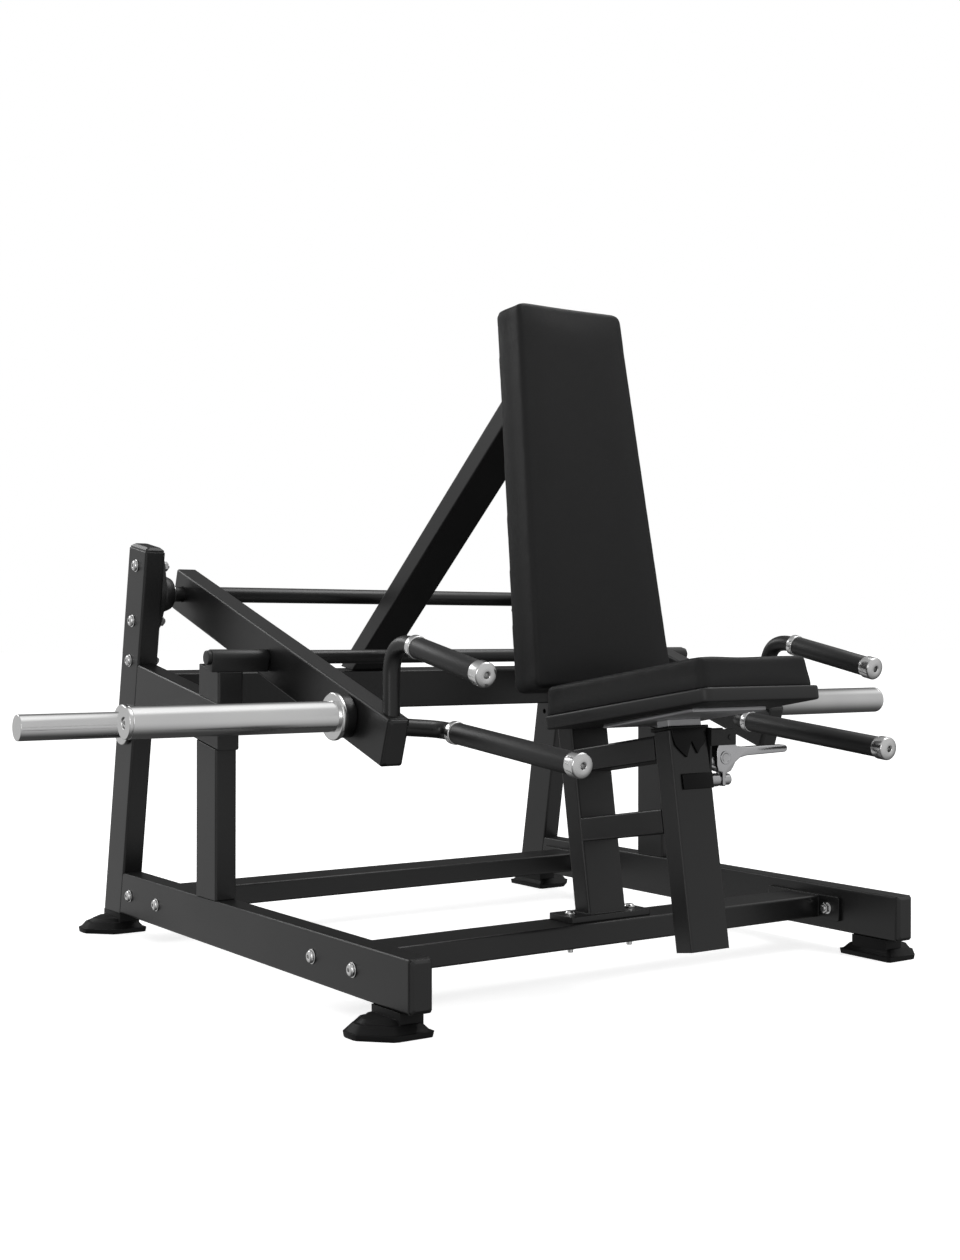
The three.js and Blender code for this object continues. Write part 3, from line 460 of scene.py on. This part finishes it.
def cushion(name, node, body, held, grow, shrink, thin, edge, voxel, cap):
    """Foam under vinyl, in place of a CAD pad.

    `held` is the pad's mounting side once its tilt is undone, "rear" or "bottom". `edge` is the radius of its
    rims, `voxel` the size of its mesh, and `cap` the most that a point may swell.
    """
    level = Matrix.Rotation(TILT, 4, "X")
    mesh = clean_copy(node)
    mesh.transform(level)
    points = [v.co.copy() for v in mesh.vertices]
    low = Vector([min(p[i] for p in points) for i in range(3)])
    high = Vector([max(p[i] for p in points) for i in range(3)])
    axis = 1 if held == "rear" else 2
    anchor = (low + high) / 2
    anchor[axis] = high[axis] if held == "rear" else low[axis]
    size = high - low

    def height(point):
        return abs(point[axis] - anchor[axis])

    def ease(point):
        share = min(1.0, height(point) / (size[axis] * 0.5))
        return share * share * (3 - 2 * share)

    def slimmer(point):
        """The starting shape's sides stand `grow` outside the CAD pad, less `shrink` at the far end.

        It is `thin` thinner than the CAD pad, which leaves room for it to swell.
        """
        reach = grow - shrink * height(point) / size[axis]
        factors = [1 + 2 * reach / size[i] for i in range(3)]
        factors[axis] = 1 - thin / size[axis]
        return anchor + Vector([(point[i] - anchor[i]) * factors[i] for i in range(3)])

    # The mould runs on past the mounting plane by one edge radius, so that every edge can be rounded alike.
    past = edge if held == "rear" else -edge
    shape = bmesh.new()
    shape.from_mesh(mesh)
    for vertex in shape.verts:
        mounted = height(vertex.co) < size[axis] / 2
        vertex.co = slimmer(vertex.co)
        if mounted:
            vertex.co[axis] += past
    corners = [e for e in shape.edges if e.calc_face_angle(0) > math.radians(15)]
    bmesh.ops.bevel(shape, geom=corners, offset=edge, segments=5, profile=0.5, affect="EDGES")
    shape.to_mesh(mesh)
    shape.free()

    def level_with_board(point):
        if (point[axis] - anchor[axis]) * past > 0:
            point[axis] = anchor[axis]

    made = inflate(mesh, level_with_board, lambda point: height(point) < voxel * 0.8, voxel, cap, ease)
    made.transform(level.inverted())
    holder = bpy.data.objects.new("finer", made)
    bpy.context.scene.collection.objects.link(holder)
    finer = holder.modifiers.new("finer", "SUBSURF")
    finer.levels = finer.render_levels = 1
    made = apply_modifiers(holder)
    bpy.data.objects.remove(holder)
    piece = add_piece(name, made, "vinyl", body, [node], sharp=180)
    return piece


cushion("backrest_cushion", "backrest_pad", "frame", "rear", grow=0.0050, shrink=-0.0010, thin=0.0060,
        edge=0.0065, voxel=0.005, cap=0.005)
cushion("seat_pad", "seat_cushion", "seat", "bottom", grow=0.0000, shrink=0.0015, thin=0.0000,
        edge=0.0055, voxel=0.0045, cap=0.005)

# The backrest's rear is closed by a thin board, held by two columns of screws.
BOARD_INSET, BOARD_CORNER, BOARD_THICKNESS = 0.012, 0.012, 0.0035
SCREW_ROWS, SCREW_FROM_END, SCREW_FROM_EDGE = 5, 0.032, 0.014
BACK_HALF_BOTTOM, BACK_HALF_TOP = 0.1462, 0.1115  # half widths of the backrest's two ends
undo_tilt = Matrix.Rotation(TILT, 3, "X")
pad_points = [undo_tilt @ vertex.co for vertex in frame["nodes"]["backrest_pad"].data.vertices]
board_bottom = min(point.z for point in pad_points)
board_length = max(point.z for point in pad_points) - board_bottom
board_foot = undo_tilt.inverted() @ Vector((0, max(point.y for point in pad_points), board_bottom))


def board_half(along):
    """Half the board's width at a height above the backrest's lower end."""
    return BACK_HALF_BOTTOM + (BACK_HALF_TOP - BACK_HALF_BOTTOM) * along / board_length - BOARD_INSET


board_low, board_high = BOARD_INSET, board_length - BOARD_INSET
left_rim = [
    (board_half(board_low) - BOARD_CORNER, board_low),
    (board_half(board_low + BOARD_CORNER), board_low + BOARD_CORNER),
    (board_half(board_high - BOARD_CORNER), board_high - BOARD_CORNER),
    (board_half(board_high) - BOARD_CORNER, board_high),
]
board_outline = left_rim + [(-across, along) for across, along in left_rim[::-1]]
board_mesh = extruded(board_outline, BOARD_THICKNESS, board_foot, X_AXIS, pad_up, pad_back, 0.001)
add_piece("backrest_board", board_mesh, "seat_board", "frame")
screw = rounded([(0, 0), (0.0058, 0), (0.0052, 0.0022), (0.0022, 0.0030), (0.0018, 0.0012), (0, 0.0012)],
                0.0006)
screw_pitch = (board_length - 2 * SCREW_FROM_END) / (SCREW_ROWS - 1)
for side_name, side in SIDES.items():
    for row in range(SCREW_ROWS):
        along = SCREW_FROM_END + row * screw_pitch
        screw_spot = board_foot + pad_up * along + pad_back * BOARD_THICKNESS
        screw_spot.x = side * (board_half(along) - SCREW_FROM_EDGE)
        turned(f"backrest_screw_{side_name}_{row}", screw, screw_spot, pad_back, "zinc_steel", "frame",
               segments=24)

rounded_copy("seat_base", 0.0035, "seat_board", "seat")
rounded_copy("seat_plate", 0.0012, "zinc_steel", "seat")


# ---------------------------------------------------------------- bolts
def bolt(name, outer, inner, side, replaces=()):
    """A dome-headed socket bolt through a tube: head and washer outside at `outer`, nut inside at `inner`."""
    length = abs(outer.x - inner.x)
    tip = [(0, -0.0125), (0.0042, -0.0125), (SHANK_R, -0.0118), (SHANK_R, -0.0095)]
    nut = [(0.0082, -0.0095, "hex"), (NUT_R, -0.0088, "hex"), (NUT_R, -0.0022, "hex"), (NUT_R, -0.0018)]
    nut_washer = [(0.0108, -0.0017), (0.0108, 0), (SHANK_R, 0)]
    inside = [(radius, along - length, *kind) for radius, along, *kind in tip + nut + nut_washer]
    washer = [(SHANK_R, 0), (0.0112, 0), (WASHER_R, 0.0004), (WASHER_R, 0.0012), (0.0112, 0.0016)]
    dome = [(HEAD_R, 0.0017), (HEAD_R, 0.0030), (0.0099, 0.0042), (0.0090, 0.0056), (0.0076, 0.0067),
            (0.0058, 0.0073), (0.0036, 0.0075)]
    socket = [(SOCKET_R, 0.0070, "hex"), (0.0030, 0.0042, "hex"), (0, 0.0036)]
    profile = inside + washer + dome + socket
    return turned(name, profile, outer, (side, 0, 0), "bright_steel", "frame", replaces, segments=36)


OUTER_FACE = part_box("post_left")[1].x + FACE_GAP
INNER_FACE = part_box("beam_front")[1].x - FLANGE_PLATE - FACE_GAP
for side_name, side in SIDES.items():
    floor_bolts = [f"bolt_{beam}_{side_name}_{end}" for beam in ("front", "rear") for end in "ab"]
    for node in [*floor_bolts, f"bolt_upper_{side_name}"]:
        hole = middle(node)
        outer = Vector((side * OUTER_FACE, hole.y, hole.z))
        inner = Vector((side * INNER_FACE, hole.y, hole.z))
        bolt(f"{node}_detail", outer, inner, side, [node])
    rounded_copy(f"bolt_base_{side_name}", 0.0006, "bright_steel", "frame")


# ---------------------------------------------------------------- plate sleeves
def sleeve(name, node, side, face, hub, body, bolted):
    """A plate sleeve whose flange starts `hub` metres from its mounting face, with or without an end bolt."""
    low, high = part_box(node)
    centre = (low + high) / 2
    length = (high.x if side > 0 else -low.x) - face
    flange_end = hub + FLANGE_THICKNESS
    groove_r = SLEEVE_R - 0.0006
    flange = [(0, hub), (FLANGE_R, hub), (FLANGE_R, flange_end), (SLEEVE_R + 0.0005, flange_end)]
    barrel, bolt_head = [(SLEEVE_R, hub + 0.010), (SLEEVE_R, length), (0, length)], []
    if bolted:
        barrel = [
            (SLEEVE_R, hub + 0.010), (SLEEVE_R, length - 0.0075), (groove_r, length - 0.0070),
            (groove_r, length - 0.0062), (SLEEVE_R, length - 0.0057), (SLEEVE_R, length),
            (SLEEVE_BORE_R + 0.001, length), (SLEEVE_BORE_R, length - 0.0015),
            (SLEEVE_BORE_R, length - SLEEVE_BORE_DEPTH),
        ]
        bolt_head = [
            (0.0078, length - SLEEVE_BORE_DEPTH), (0.0074, length - 0.0025), (0.0055, length - 0.0012),
            (0.0036, length - 0.0010), (SOCKET_R, length - 0.0014, "hex"), (0.0030, length - 0.0045, "hex"),
            (0, length - 0.0045),
        ]
    profile = rounded(flange, 0.0036, 5) + rounded(barrel, 0.0022, 4) + bolt_head
    origin = (side * face, centre.y, centre.z)
    return turned(name, profile, origin, (side, 0, 0), "bright_steel", body, [node], segments=72)


for side_name, side in SIDES.items():
    node = f"weight_horn_{side_name}"
    arm_face = min(abs(corner.x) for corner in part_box(node))
    sleeve(f"{node}_sleeve", node, side, arm_face, HUB_LENGTH, "yoke", bolted=True)
    hub = rounded([(0, 0), (HUB_R, 0), (HUB_R, HUB_LENGTH), (0, HUB_LENGTH)], 0.0025)
    hub_centre = (side * arm_face, middle(node).y, middle(node).z)
    turned(f"{node}_hub", hub, hub_centre, (side, 0, 0), "powder_coat", "yoke", segments=64)
    node = f"storage_horn_{side_name}"
    sleeve(f"{node}_sleeve", node, side, OUTER_FACE, 0.0, "frame", bolted=False)


# ---------------------------------------------------------------- handles and grips
def grip_set(node, fall, length, bend, handle_node, run_back, foot):
    """A handle tube with its rubber grip, collar and end cap. `foot` gives the tube's end from its corner."""
    ahead = Vector((0, -math.cos(fall), -math.sin(fall)))
    start = middle(node) - ahead * (length / 2)
    corner = start - ahead * (run_back / math.cos(fall))
    path = bent_path(foot(corner), corner, start + ahead * HANDLE_IN_GRIP, bend)
    swept(f"{handle_node}_tube", path, HANDLE_R, "powder_coat", "yoke", [handle_node])
    collar = rounded([(0, 0), (CAP_R - 0.0006, 0), (CAP_R - 0.0006, COLLAR), (0, COLLAR)], 0.0018, 3)
    turned(f"{node}_collar", collar, start, ahead, "bright_steel", "yoke")
    rubber = [(0, COLLAR), (GRIP_R, COLLAR), (GRIP_R, length - CAP), (0, length - CAP)]
    turned(f"{node}_rubber", rounded(rubber, 0.0015, 3), start, ahead, "rubber_grip", "yoke", [node])
    cap = [
        (0, length - CAP), (CAP_R - 0.0012, length - CAP), (CAP_R - 0.0012, length - CAP + 0.004),
        (CAP_R, length - CAP + 0.0045), (CAP_R, length - 0.0030), (0.0120, length), (CAP_BORE_R, length),
        (CAP_BORE_R - 0.0004, length - CAP_BORE_DEPTH), (0, length - CAP_BORE_DEPTH),
    ]
    turned(f"{node}_cap", rounded(cap, 0.0030, 5), start, ahead, "bright_steel", "yoke")


def foot_on_arm_top(corner):
    return Vector((corner.x, corner.y, ARM_TOP_AT_HANDLE))


def foot_in_arm_side(corner):
    """The lower handle turns outwards and ends just inside the arm's inner face."""
    arm_inner = abs(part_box("arm_right")[1].x)
    return Vector((math.copysign(arm_inner + 0.004, corner.x), corner.y, corner.z + 0.006))


for side_name in SIDES:
    grip_set(f"grip_upper_{side_name}", UPPER_FALL, UPPER_LENGTH, UPPER_BEND, f"handle_upper_{side_name}",
             UPPER_RUN_BACK, foot_on_arm_top)
    grip_set(f"grip_lower_{side_name}", LOWER_FALL, LOWER_LENGTH, LOWER_BEND, f"handle_lower_{side_name}",
             LOWER_RUN_BACK, foot_in_arm_side)


# ---------------------------------------------------------------- pivot, bearings and stop bar
upright_up = Vector((0, -math.sin(UPRIGHT_LEAN), math.cos(UPRIGHT_LEAN)))
upright_back = Vector((0, math.cos(UPRIGHT_LEAN), math.sin(UPRIGHT_LEAN)))
pivot = middle("pivot_tube")


def cross_bar(name, node, radius, y, z):
    """A round bar across the machine, as long as its CAD node."""
    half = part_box(node)[1].x
    bar = rounded([(0, -half), (radius, -half), (radius, half), (0, half)], 0.0015)
    turned(name, bar, (0, y, z), X_AXIS, "powder_coat", "yoke", [node])


def flange_outline(reach, ear, waist, steps=8):
    """An oval flange: a round middle and an ear at each end."""
    outline = []
    for centre, radius, first, last in ((reach, ear, 20, 160), (0, waist, 155, 205), (-reach, ear, 200, 340),
                                        (0, waist, 335, 385)):
        for k in range(steps + 1):
            angle = math.radians(first + (last - first) * k / steps)
            outline.append((radius * math.cos(angle), centre + radius * math.sin(angle)))
    return outline


cross_bar("pivot_shaft", "pivot_tube", PIVOT_R, pivot.y, pivot.z)
oval = flange_outline(BEARING_HALF_PITCH, EAR_R, WAIST_R)
dome = rounded([(0, 0.010), (DOME_R, 0.010), (0.0345, 0.020), (0.0290, 0.032), (0.0225, DOME_HEIGHT),
                (0, DOME_HEIGHT)], 0.004)
ring = rounded([(0, 0.033), (RING_R, 0.033), (RING_R, RING_HEIGHT), (0, RING_HEIGHT)], 0.001)
for side_name, side in SIDES.items():
    node = f"bearing_{side_name}"
    face = min(abs(corner.x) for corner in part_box(f"upright_{side_name}")) - FACE_GAP
    nut_face = face - BEARING_FLANGE - 0.0002
    inwards = Vector((-side, 0, 0))
    flange_centre = Vector((side * face, middle(node).y, pivot.z))
    plate = extruded(oval, BEARING_FLANGE, flange_centre, upright_back, upright_up, inwards, 0.0025)
    add_piece(f"{node}_flange", plate, "cast_housing", "frame", [node])
    shaft_centre = Vector((side * face, pivot.y, pivot.z))
    turned(f"{node}_dome", dome, shaft_centre, inwards, "cast_housing", "frame", segments=64)
    turned(f"{node}_ring", ring, shaft_centre, inwards, "bright_steel", "frame")
    for end_name, end in {"lower": -1, "upper": 1}.items():
        spot = flange_centre + upright_up * (end * BEARING_HALF_PITCH)
        outer = Vector((side * OUTER_FACE, spot.y, spot.z))
        inner = Vector((side * nut_face, spot.y, spot.z))
        bolt(f"{node}_bolt_{end_name}", outer, inner, side)

stop_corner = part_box("stop_bar")[1]
stop_y, stop_z = stop_corner.y - STOP_BAR_R, stop_corner.z - STOP_BAR_R
cross_bar("stop_bar_tube", "stop_bar", STOP_BAR_R, stop_y, stop_z)
# Each bumper wraps the stop bar and reaches down to the block it rests on.
side_forward = Vector((0, -math.cos(SIDE_SLOPE), -math.sin(SIDE_SLOPE)))
side_up = Vector((0, -math.sin(SIDE_SLOPE), math.cos(SIDE_SLOPE)))
bumper_outline = arc(BUMPER_R, 0, 180, 15) + [(-BUMPER_HALF, -BUMPER_DROP), (BUMPER_HALF, -BUMPER_DROP)]
for side_name, side in SIDES.items():
    bumper_start = Vector((side * BUMPER_FROM, stop_y, stop_z))
    block = extruded(bumper_outline, BUMPER_TO - BUMPER_FROM, bumper_start, side_forward, side_up,
                     X_AXIS * side, 0.0015)
    add_piece(f"bumper_{side_name}", block, "rubber_grip", "yoke")

# ---------------------------------------------------------------- feet, seat guide and release lever
for side_name in SIDES:
    for place in ("front", "rear"):
        rounded_copy(f"foot_{place}_{side_name}", 0.0022, "rubber_foot", "frame")

# The bracket is painted above the lock housing and chromed from there down.
bracket = rounded_copy("lever_bracket", 0.0008, "cast_housing", "frame")
bracket.data.materials.append(FINISHES["chrome"])
for polygon in bracket.data.polygons:
    polygon.material_index = int(polygon.center.z < LOCK_HOUSING_TOP)
pin = middle("lock_pin")
pin_low, pin_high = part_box("lock_pin")
pin_length, knob_r = pin_high.x - pin_low.x, pin_high.z - pin.z
stem_length = pin_length - KNOB_LENGTH
stem = rounded([(0, 0), (SHANK_R, 0), (SHANK_R, stem_length), (knob_r, stem_length), (knob_r, pin_length),
                (0, pin_length)], 0.0014)
turned("lock_pin_knob", stem, (pin_low.x, pin.y, pin.z), X_AXIS, "chrome", "pin", ["lock_pin"], segments=40)

lever_low, lever_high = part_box("release_lever")
lever_y = (lever_low.y + lever_high.y) / 2
hub_x, hub_z = lever_low.x + HUB_FROM_EDGE, lever_high.z - HUB_FROM_TOP


def lever_outline():
    """The lever seen from the front: round hub, body, fork at the pin, and a slim curved arm."""
    hub = arc(LEVER_HUB_R, 20, 180, 16)
    left = [(-0.016, -0.012), (-0.0185, -0.024), (-0.0185, -0.046), (-0.015, -0.056), (-0.006, -0.058)]
    fork = [(-0.0060, -0.079), (-0.0020, -0.081), (0.0012, -0.079), (0.0012, -0.060)]
    under = [(0.012, -0.056), (0.017, -0.050), (0.022, -0.042), (0.032, -0.0355), (0.048, -0.0325)]
    tip_centre = (lever_high.x - hub_x - LEVER_TIP_R, -LEVER_TIP_DROP)
    tip = arc(LEVER_TIP_R, -90, 90, 22, tip_centre)
    over = [(0.090, -0.0178), (0.050, -0.0185), (0.028, -0.0170), (0.018, -0.0115)]
    return hub + left + fork + under + tip + over


blade_start = Vector((hub_x, lever_y - LEVER_THICKNESS / 2, hub_z))
blade = extruded(lever_outline(), LEVER_THICKNESS, blade_start, X_AXIS, Vector((0, 0, 1)), Vector((0, 1, 0)),
                 0.0024)
add_piece("release_lever_blade", blade, "chrome", "lever", ["release_lever"])
boss = rounded([(0, 0), (0.0110, 0), (0.0110, 0.0020), (0.0080, 0.0020), (0.0065, 0.0010), (0, 0.0010)],
               0.0007)
boss_start = (hub_x - 0.001, lever_y - LEVER_THICKNESS / 2 + 0.0001, hub_z - 0.034)
turned("release_lever_boss", boss, boss_start, (0, -1, 0), "chrome", "lever")


def guide_bush(start):
    """A rectangular ring round the top of the seat guide, square to the guide's axis."""
    window = rectangle(BUSH_WIDTH - 2 * BUSH_WALL, BUSH_DEPTH - 2 * BUSH_WALL)
    rims = rectangle(BUSH_WIDTH, BUSH_DEPTH) + window
    vertices = [start + X_AXIS * u + pad_back * v + pad_up * h for h in (0, BUSH_HEIGHT) for u, v in rims]
    faces = []
    for k in range(4):
        n = (k + 1) % 4
        faces.append([k, n, n + 8, k + 8])
        faces.append([k + 4, k + 12, n + 12, n + 4])
        faces.append([k, k + 4, n + 4, n])
        faces.append([k + 8, n + 8, n + 12, k + 12])
    mesh = bevelled(mesh_of("guide_bush", vertices, faces), 0.0012)
    return add_piece("guide_bush", mesh, "plastic", "frame")


# The guide leans back, so its box is as tall as its front edge and as deep as its rear edge.
# Its centre line is half a depth from both.
guide_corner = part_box("seat_guide")[1]
guide_top = Vector((0, guide_corner.y - GUIDE_HALF_DEPTH * math.cos(TILT),
                    guide_corner.z - GUIDE_HALF_DEPTH * math.sin(TILT)))
guide_bush(guide_top + pad_up * FACE_GAP)
guide_front = guide_top - pad_back * (GUIDE_HALF_DEPTH + 0.0002)
claw = [(-0.037, 0.002), (-0.036, -0.010), (-0.032, -0.025), (-0.021, -0.036), (-0.010, -0.045),
        (-0.004, -0.032), (0.003, -0.019), (0.008, -0.030), (0.013, -0.040), (0.020, -0.031), (0.028, -0.025),
        (0.035, -0.014), (0.037, 0.002)]
claw_mesh = extruded(claw, 0.0028, guide_front, X_AXIS, pad_up, -pad_back, 0.0009)
add_piece("guide_bush_claw", claw_mesh, "plastic", "frame")
saddle_left, saddle_right, saddle_bottom, saddle_top = -0.024, 0.0395, -0.0955, -0.0705
saddle = [(saddle_left, saddle_bottom), (saddle_right, saddle_bottom), (saddle_right, saddle_top),
          (saddle_left, saddle_top)]
saddle_mesh = extruded(saddle, 0.0032, guide_front, X_AXIS, pad_up, -pad_back, 0.0012)
add_piece("lock_saddle", saddle_mesh, "plastic", "frame")

# ---------------------------------------------------------------- finishes of the CAD nodes that stay
slot_of = {row["node"]: row["material_slot"] for row in frame["record"]["subparts"]}
for name, node in frame["nodes"].items():
    if node.hide_render:
        continue
    for material_slot in node.material_slots:
        material_slot.material = FINISHES[slot_of[name]]

# ---------------------------------------------------------------- studio
def plain(name, colour, rough, glow):
    material, _, principled = shader_nodes(name)
    principled.inputs["Emission Color"].default_value = (1, 1, 1, 1)
    principled.inputs["Emission Strength"].default_value = glow
    principled.inputs["Base Color"].default_value = (*colour, 1)
    principled.inputs["Roughness"].default_value = rough
    principled.inputs["Specular IOR Level"].default_value = 0.2
    return material


FLOOR_HALF = 40
floor_corners = [(x, y, 0) for x, y in rectangle(2 * FLOOR_HALF, 2 * FLOOR_HALF)]
floor = bpy.data.objects.new("floor", mesh_of("floor", floor_corners, [[0, 1, 2, 3]]))
floor.data.materials.append(plain("floor", (0.80, 0.80, 0.80), 0.8, 0.72))
bpy.context.scene.collection.objects.link(floor)
floor.visible_glossy = False
floor.visible_diffuse = False


def area_light(name, place, target, width, height, power):
    light = bpy.data.lights.new(name, "AREA")
    light.shape = "RECTANGLE"
    light.size, light.size_y = width, height
    light.energy = power
    lamp = bpy.data.objects.new(name, light)
    lamp.location = place
    lamp.rotation_mode = "QUATERNION"
    lamp.rotation_quaternion = (Vector(target) - Vector(place)).to_track_quat("-Z", "Y")
    lamp.visible_camera = False
    bpy.context.scene.collection.objects.link(lamp)


area_light("top", (1.4, -0.2, 3.4), (-0.4, -0.1, 0.4), 2.2, 1.2, 30)
area_light("back_rim", (-1.5, 3.2, 2.6), (-0.2, 0, 0.5), 2.4, 1.2, 26)
area_light("left_rim", (-3.4, -2.0, 1.3), (0, 0, 0.5), 0.8, 2.2, 18)

world = bpy.data.worlds.new("studio")
bpy.context.scene.world = world
world.use_nodes = True
links, nodes = world.node_tree.links, world.node_tree.nodes
direction = nodes.new("ShaderNodeTexCoord")


def sky_lobe(towards, ramp_from, ramp_to, dim, bright):
    """Light that grows from `dim` to `bright` as a direction turns towards the given one."""
    dot = nodes.new("ShaderNodeVectorMath")
    dot.operation = "DOT_PRODUCT"
    dot.inputs[1].default_value = towards
    links.new(direction.outputs["Generated"], dot.inputs[0])
    grow = nodes.new("ShaderNodeMapRange")
    grow.interpolation_type = "SMOOTHSTEP"
    for socket, value in zip(("From Min", "From Max", "To Min", "To Max"), (ramp_from, ramp_to, dim, bright)):
        grow.inputs[socket].default_value = value
    links.new(dot.outputs["Value"], grow.inputs["Value"])
    return grow.outputs["Result"]


front_sky = sky_lobe((0, -0.6, 0.5), -0.5, 0.6, 0.06, 0.62)
left_sky = sky_lobe((-0.57, 0.82, 0), 0.45, 0.95, 0, 0.52)
top_sky = sky_lobe((0.45, 0, 0.89), 0.80, 0.97, 0, 0.60)
two_lobes = nodes.new("ShaderNodeMath")
links.new(front_sky, two_lobes.inputs[0])
links.new(left_sky, two_lobes.inputs[1])
total = nodes.new("ShaderNodeMath")
links.new(two_lobes.outputs["Value"], total.inputs[0])
links.new(top_sky, total.inputs[1])
seen = nodes.new("ShaderNodeLightPath")
plain_white = nodes.new("ShaderNodeMath")
plain_white.operation = "MAXIMUM"
links.new(total.outputs["Value"], plain_white.inputs[0])
links.new(seen.outputs["Is Camera Ray"], plain_white.inputs[1])
links.new(plain_white.outputs["Value"], nodes["Background"].inputs["Color"])
bpy.context.scene.view_settings.view_transform = "Standard"
bpy.context.scene.view_settings.look = "None"

# ---------------------------------------------------------------- camera
ahead = Vector((math.sin(CAMERA_YAW) * math.cos(CAMERA_PITCH), math.cos(CAMERA_YAW) * math.cos(CAMERA_PITCH),
                math.sin(CAMERA_PITCH)))
right = Vector((math.cos(CAMERA_YAW), -math.sin(CAMERA_YAW), 0))
up = right.cross(ahead)
rolled_right = right * math.cos(CAMERA_ROLL) + up * math.sin(CAMERA_ROLL)
rolled_up = up * math.cos(CAMERA_ROLL) - right * math.sin(CAMERA_ROLL)
camera = bpy.data.objects.new("camera", bpy.data.cameras.new("camera"))
turn = Matrix((rolled_right, rolled_up, -ahead)).transposed().to_4x4()
camera.matrix_world = Matrix.Translation(CAMERA) @ turn
camera.data.sensor_width = SENSOR
camera.data.lens = FOCAL_LENGTH
bpy.context.scene.collection.objects.link(camera)
bpy.context.scene.camera = camera
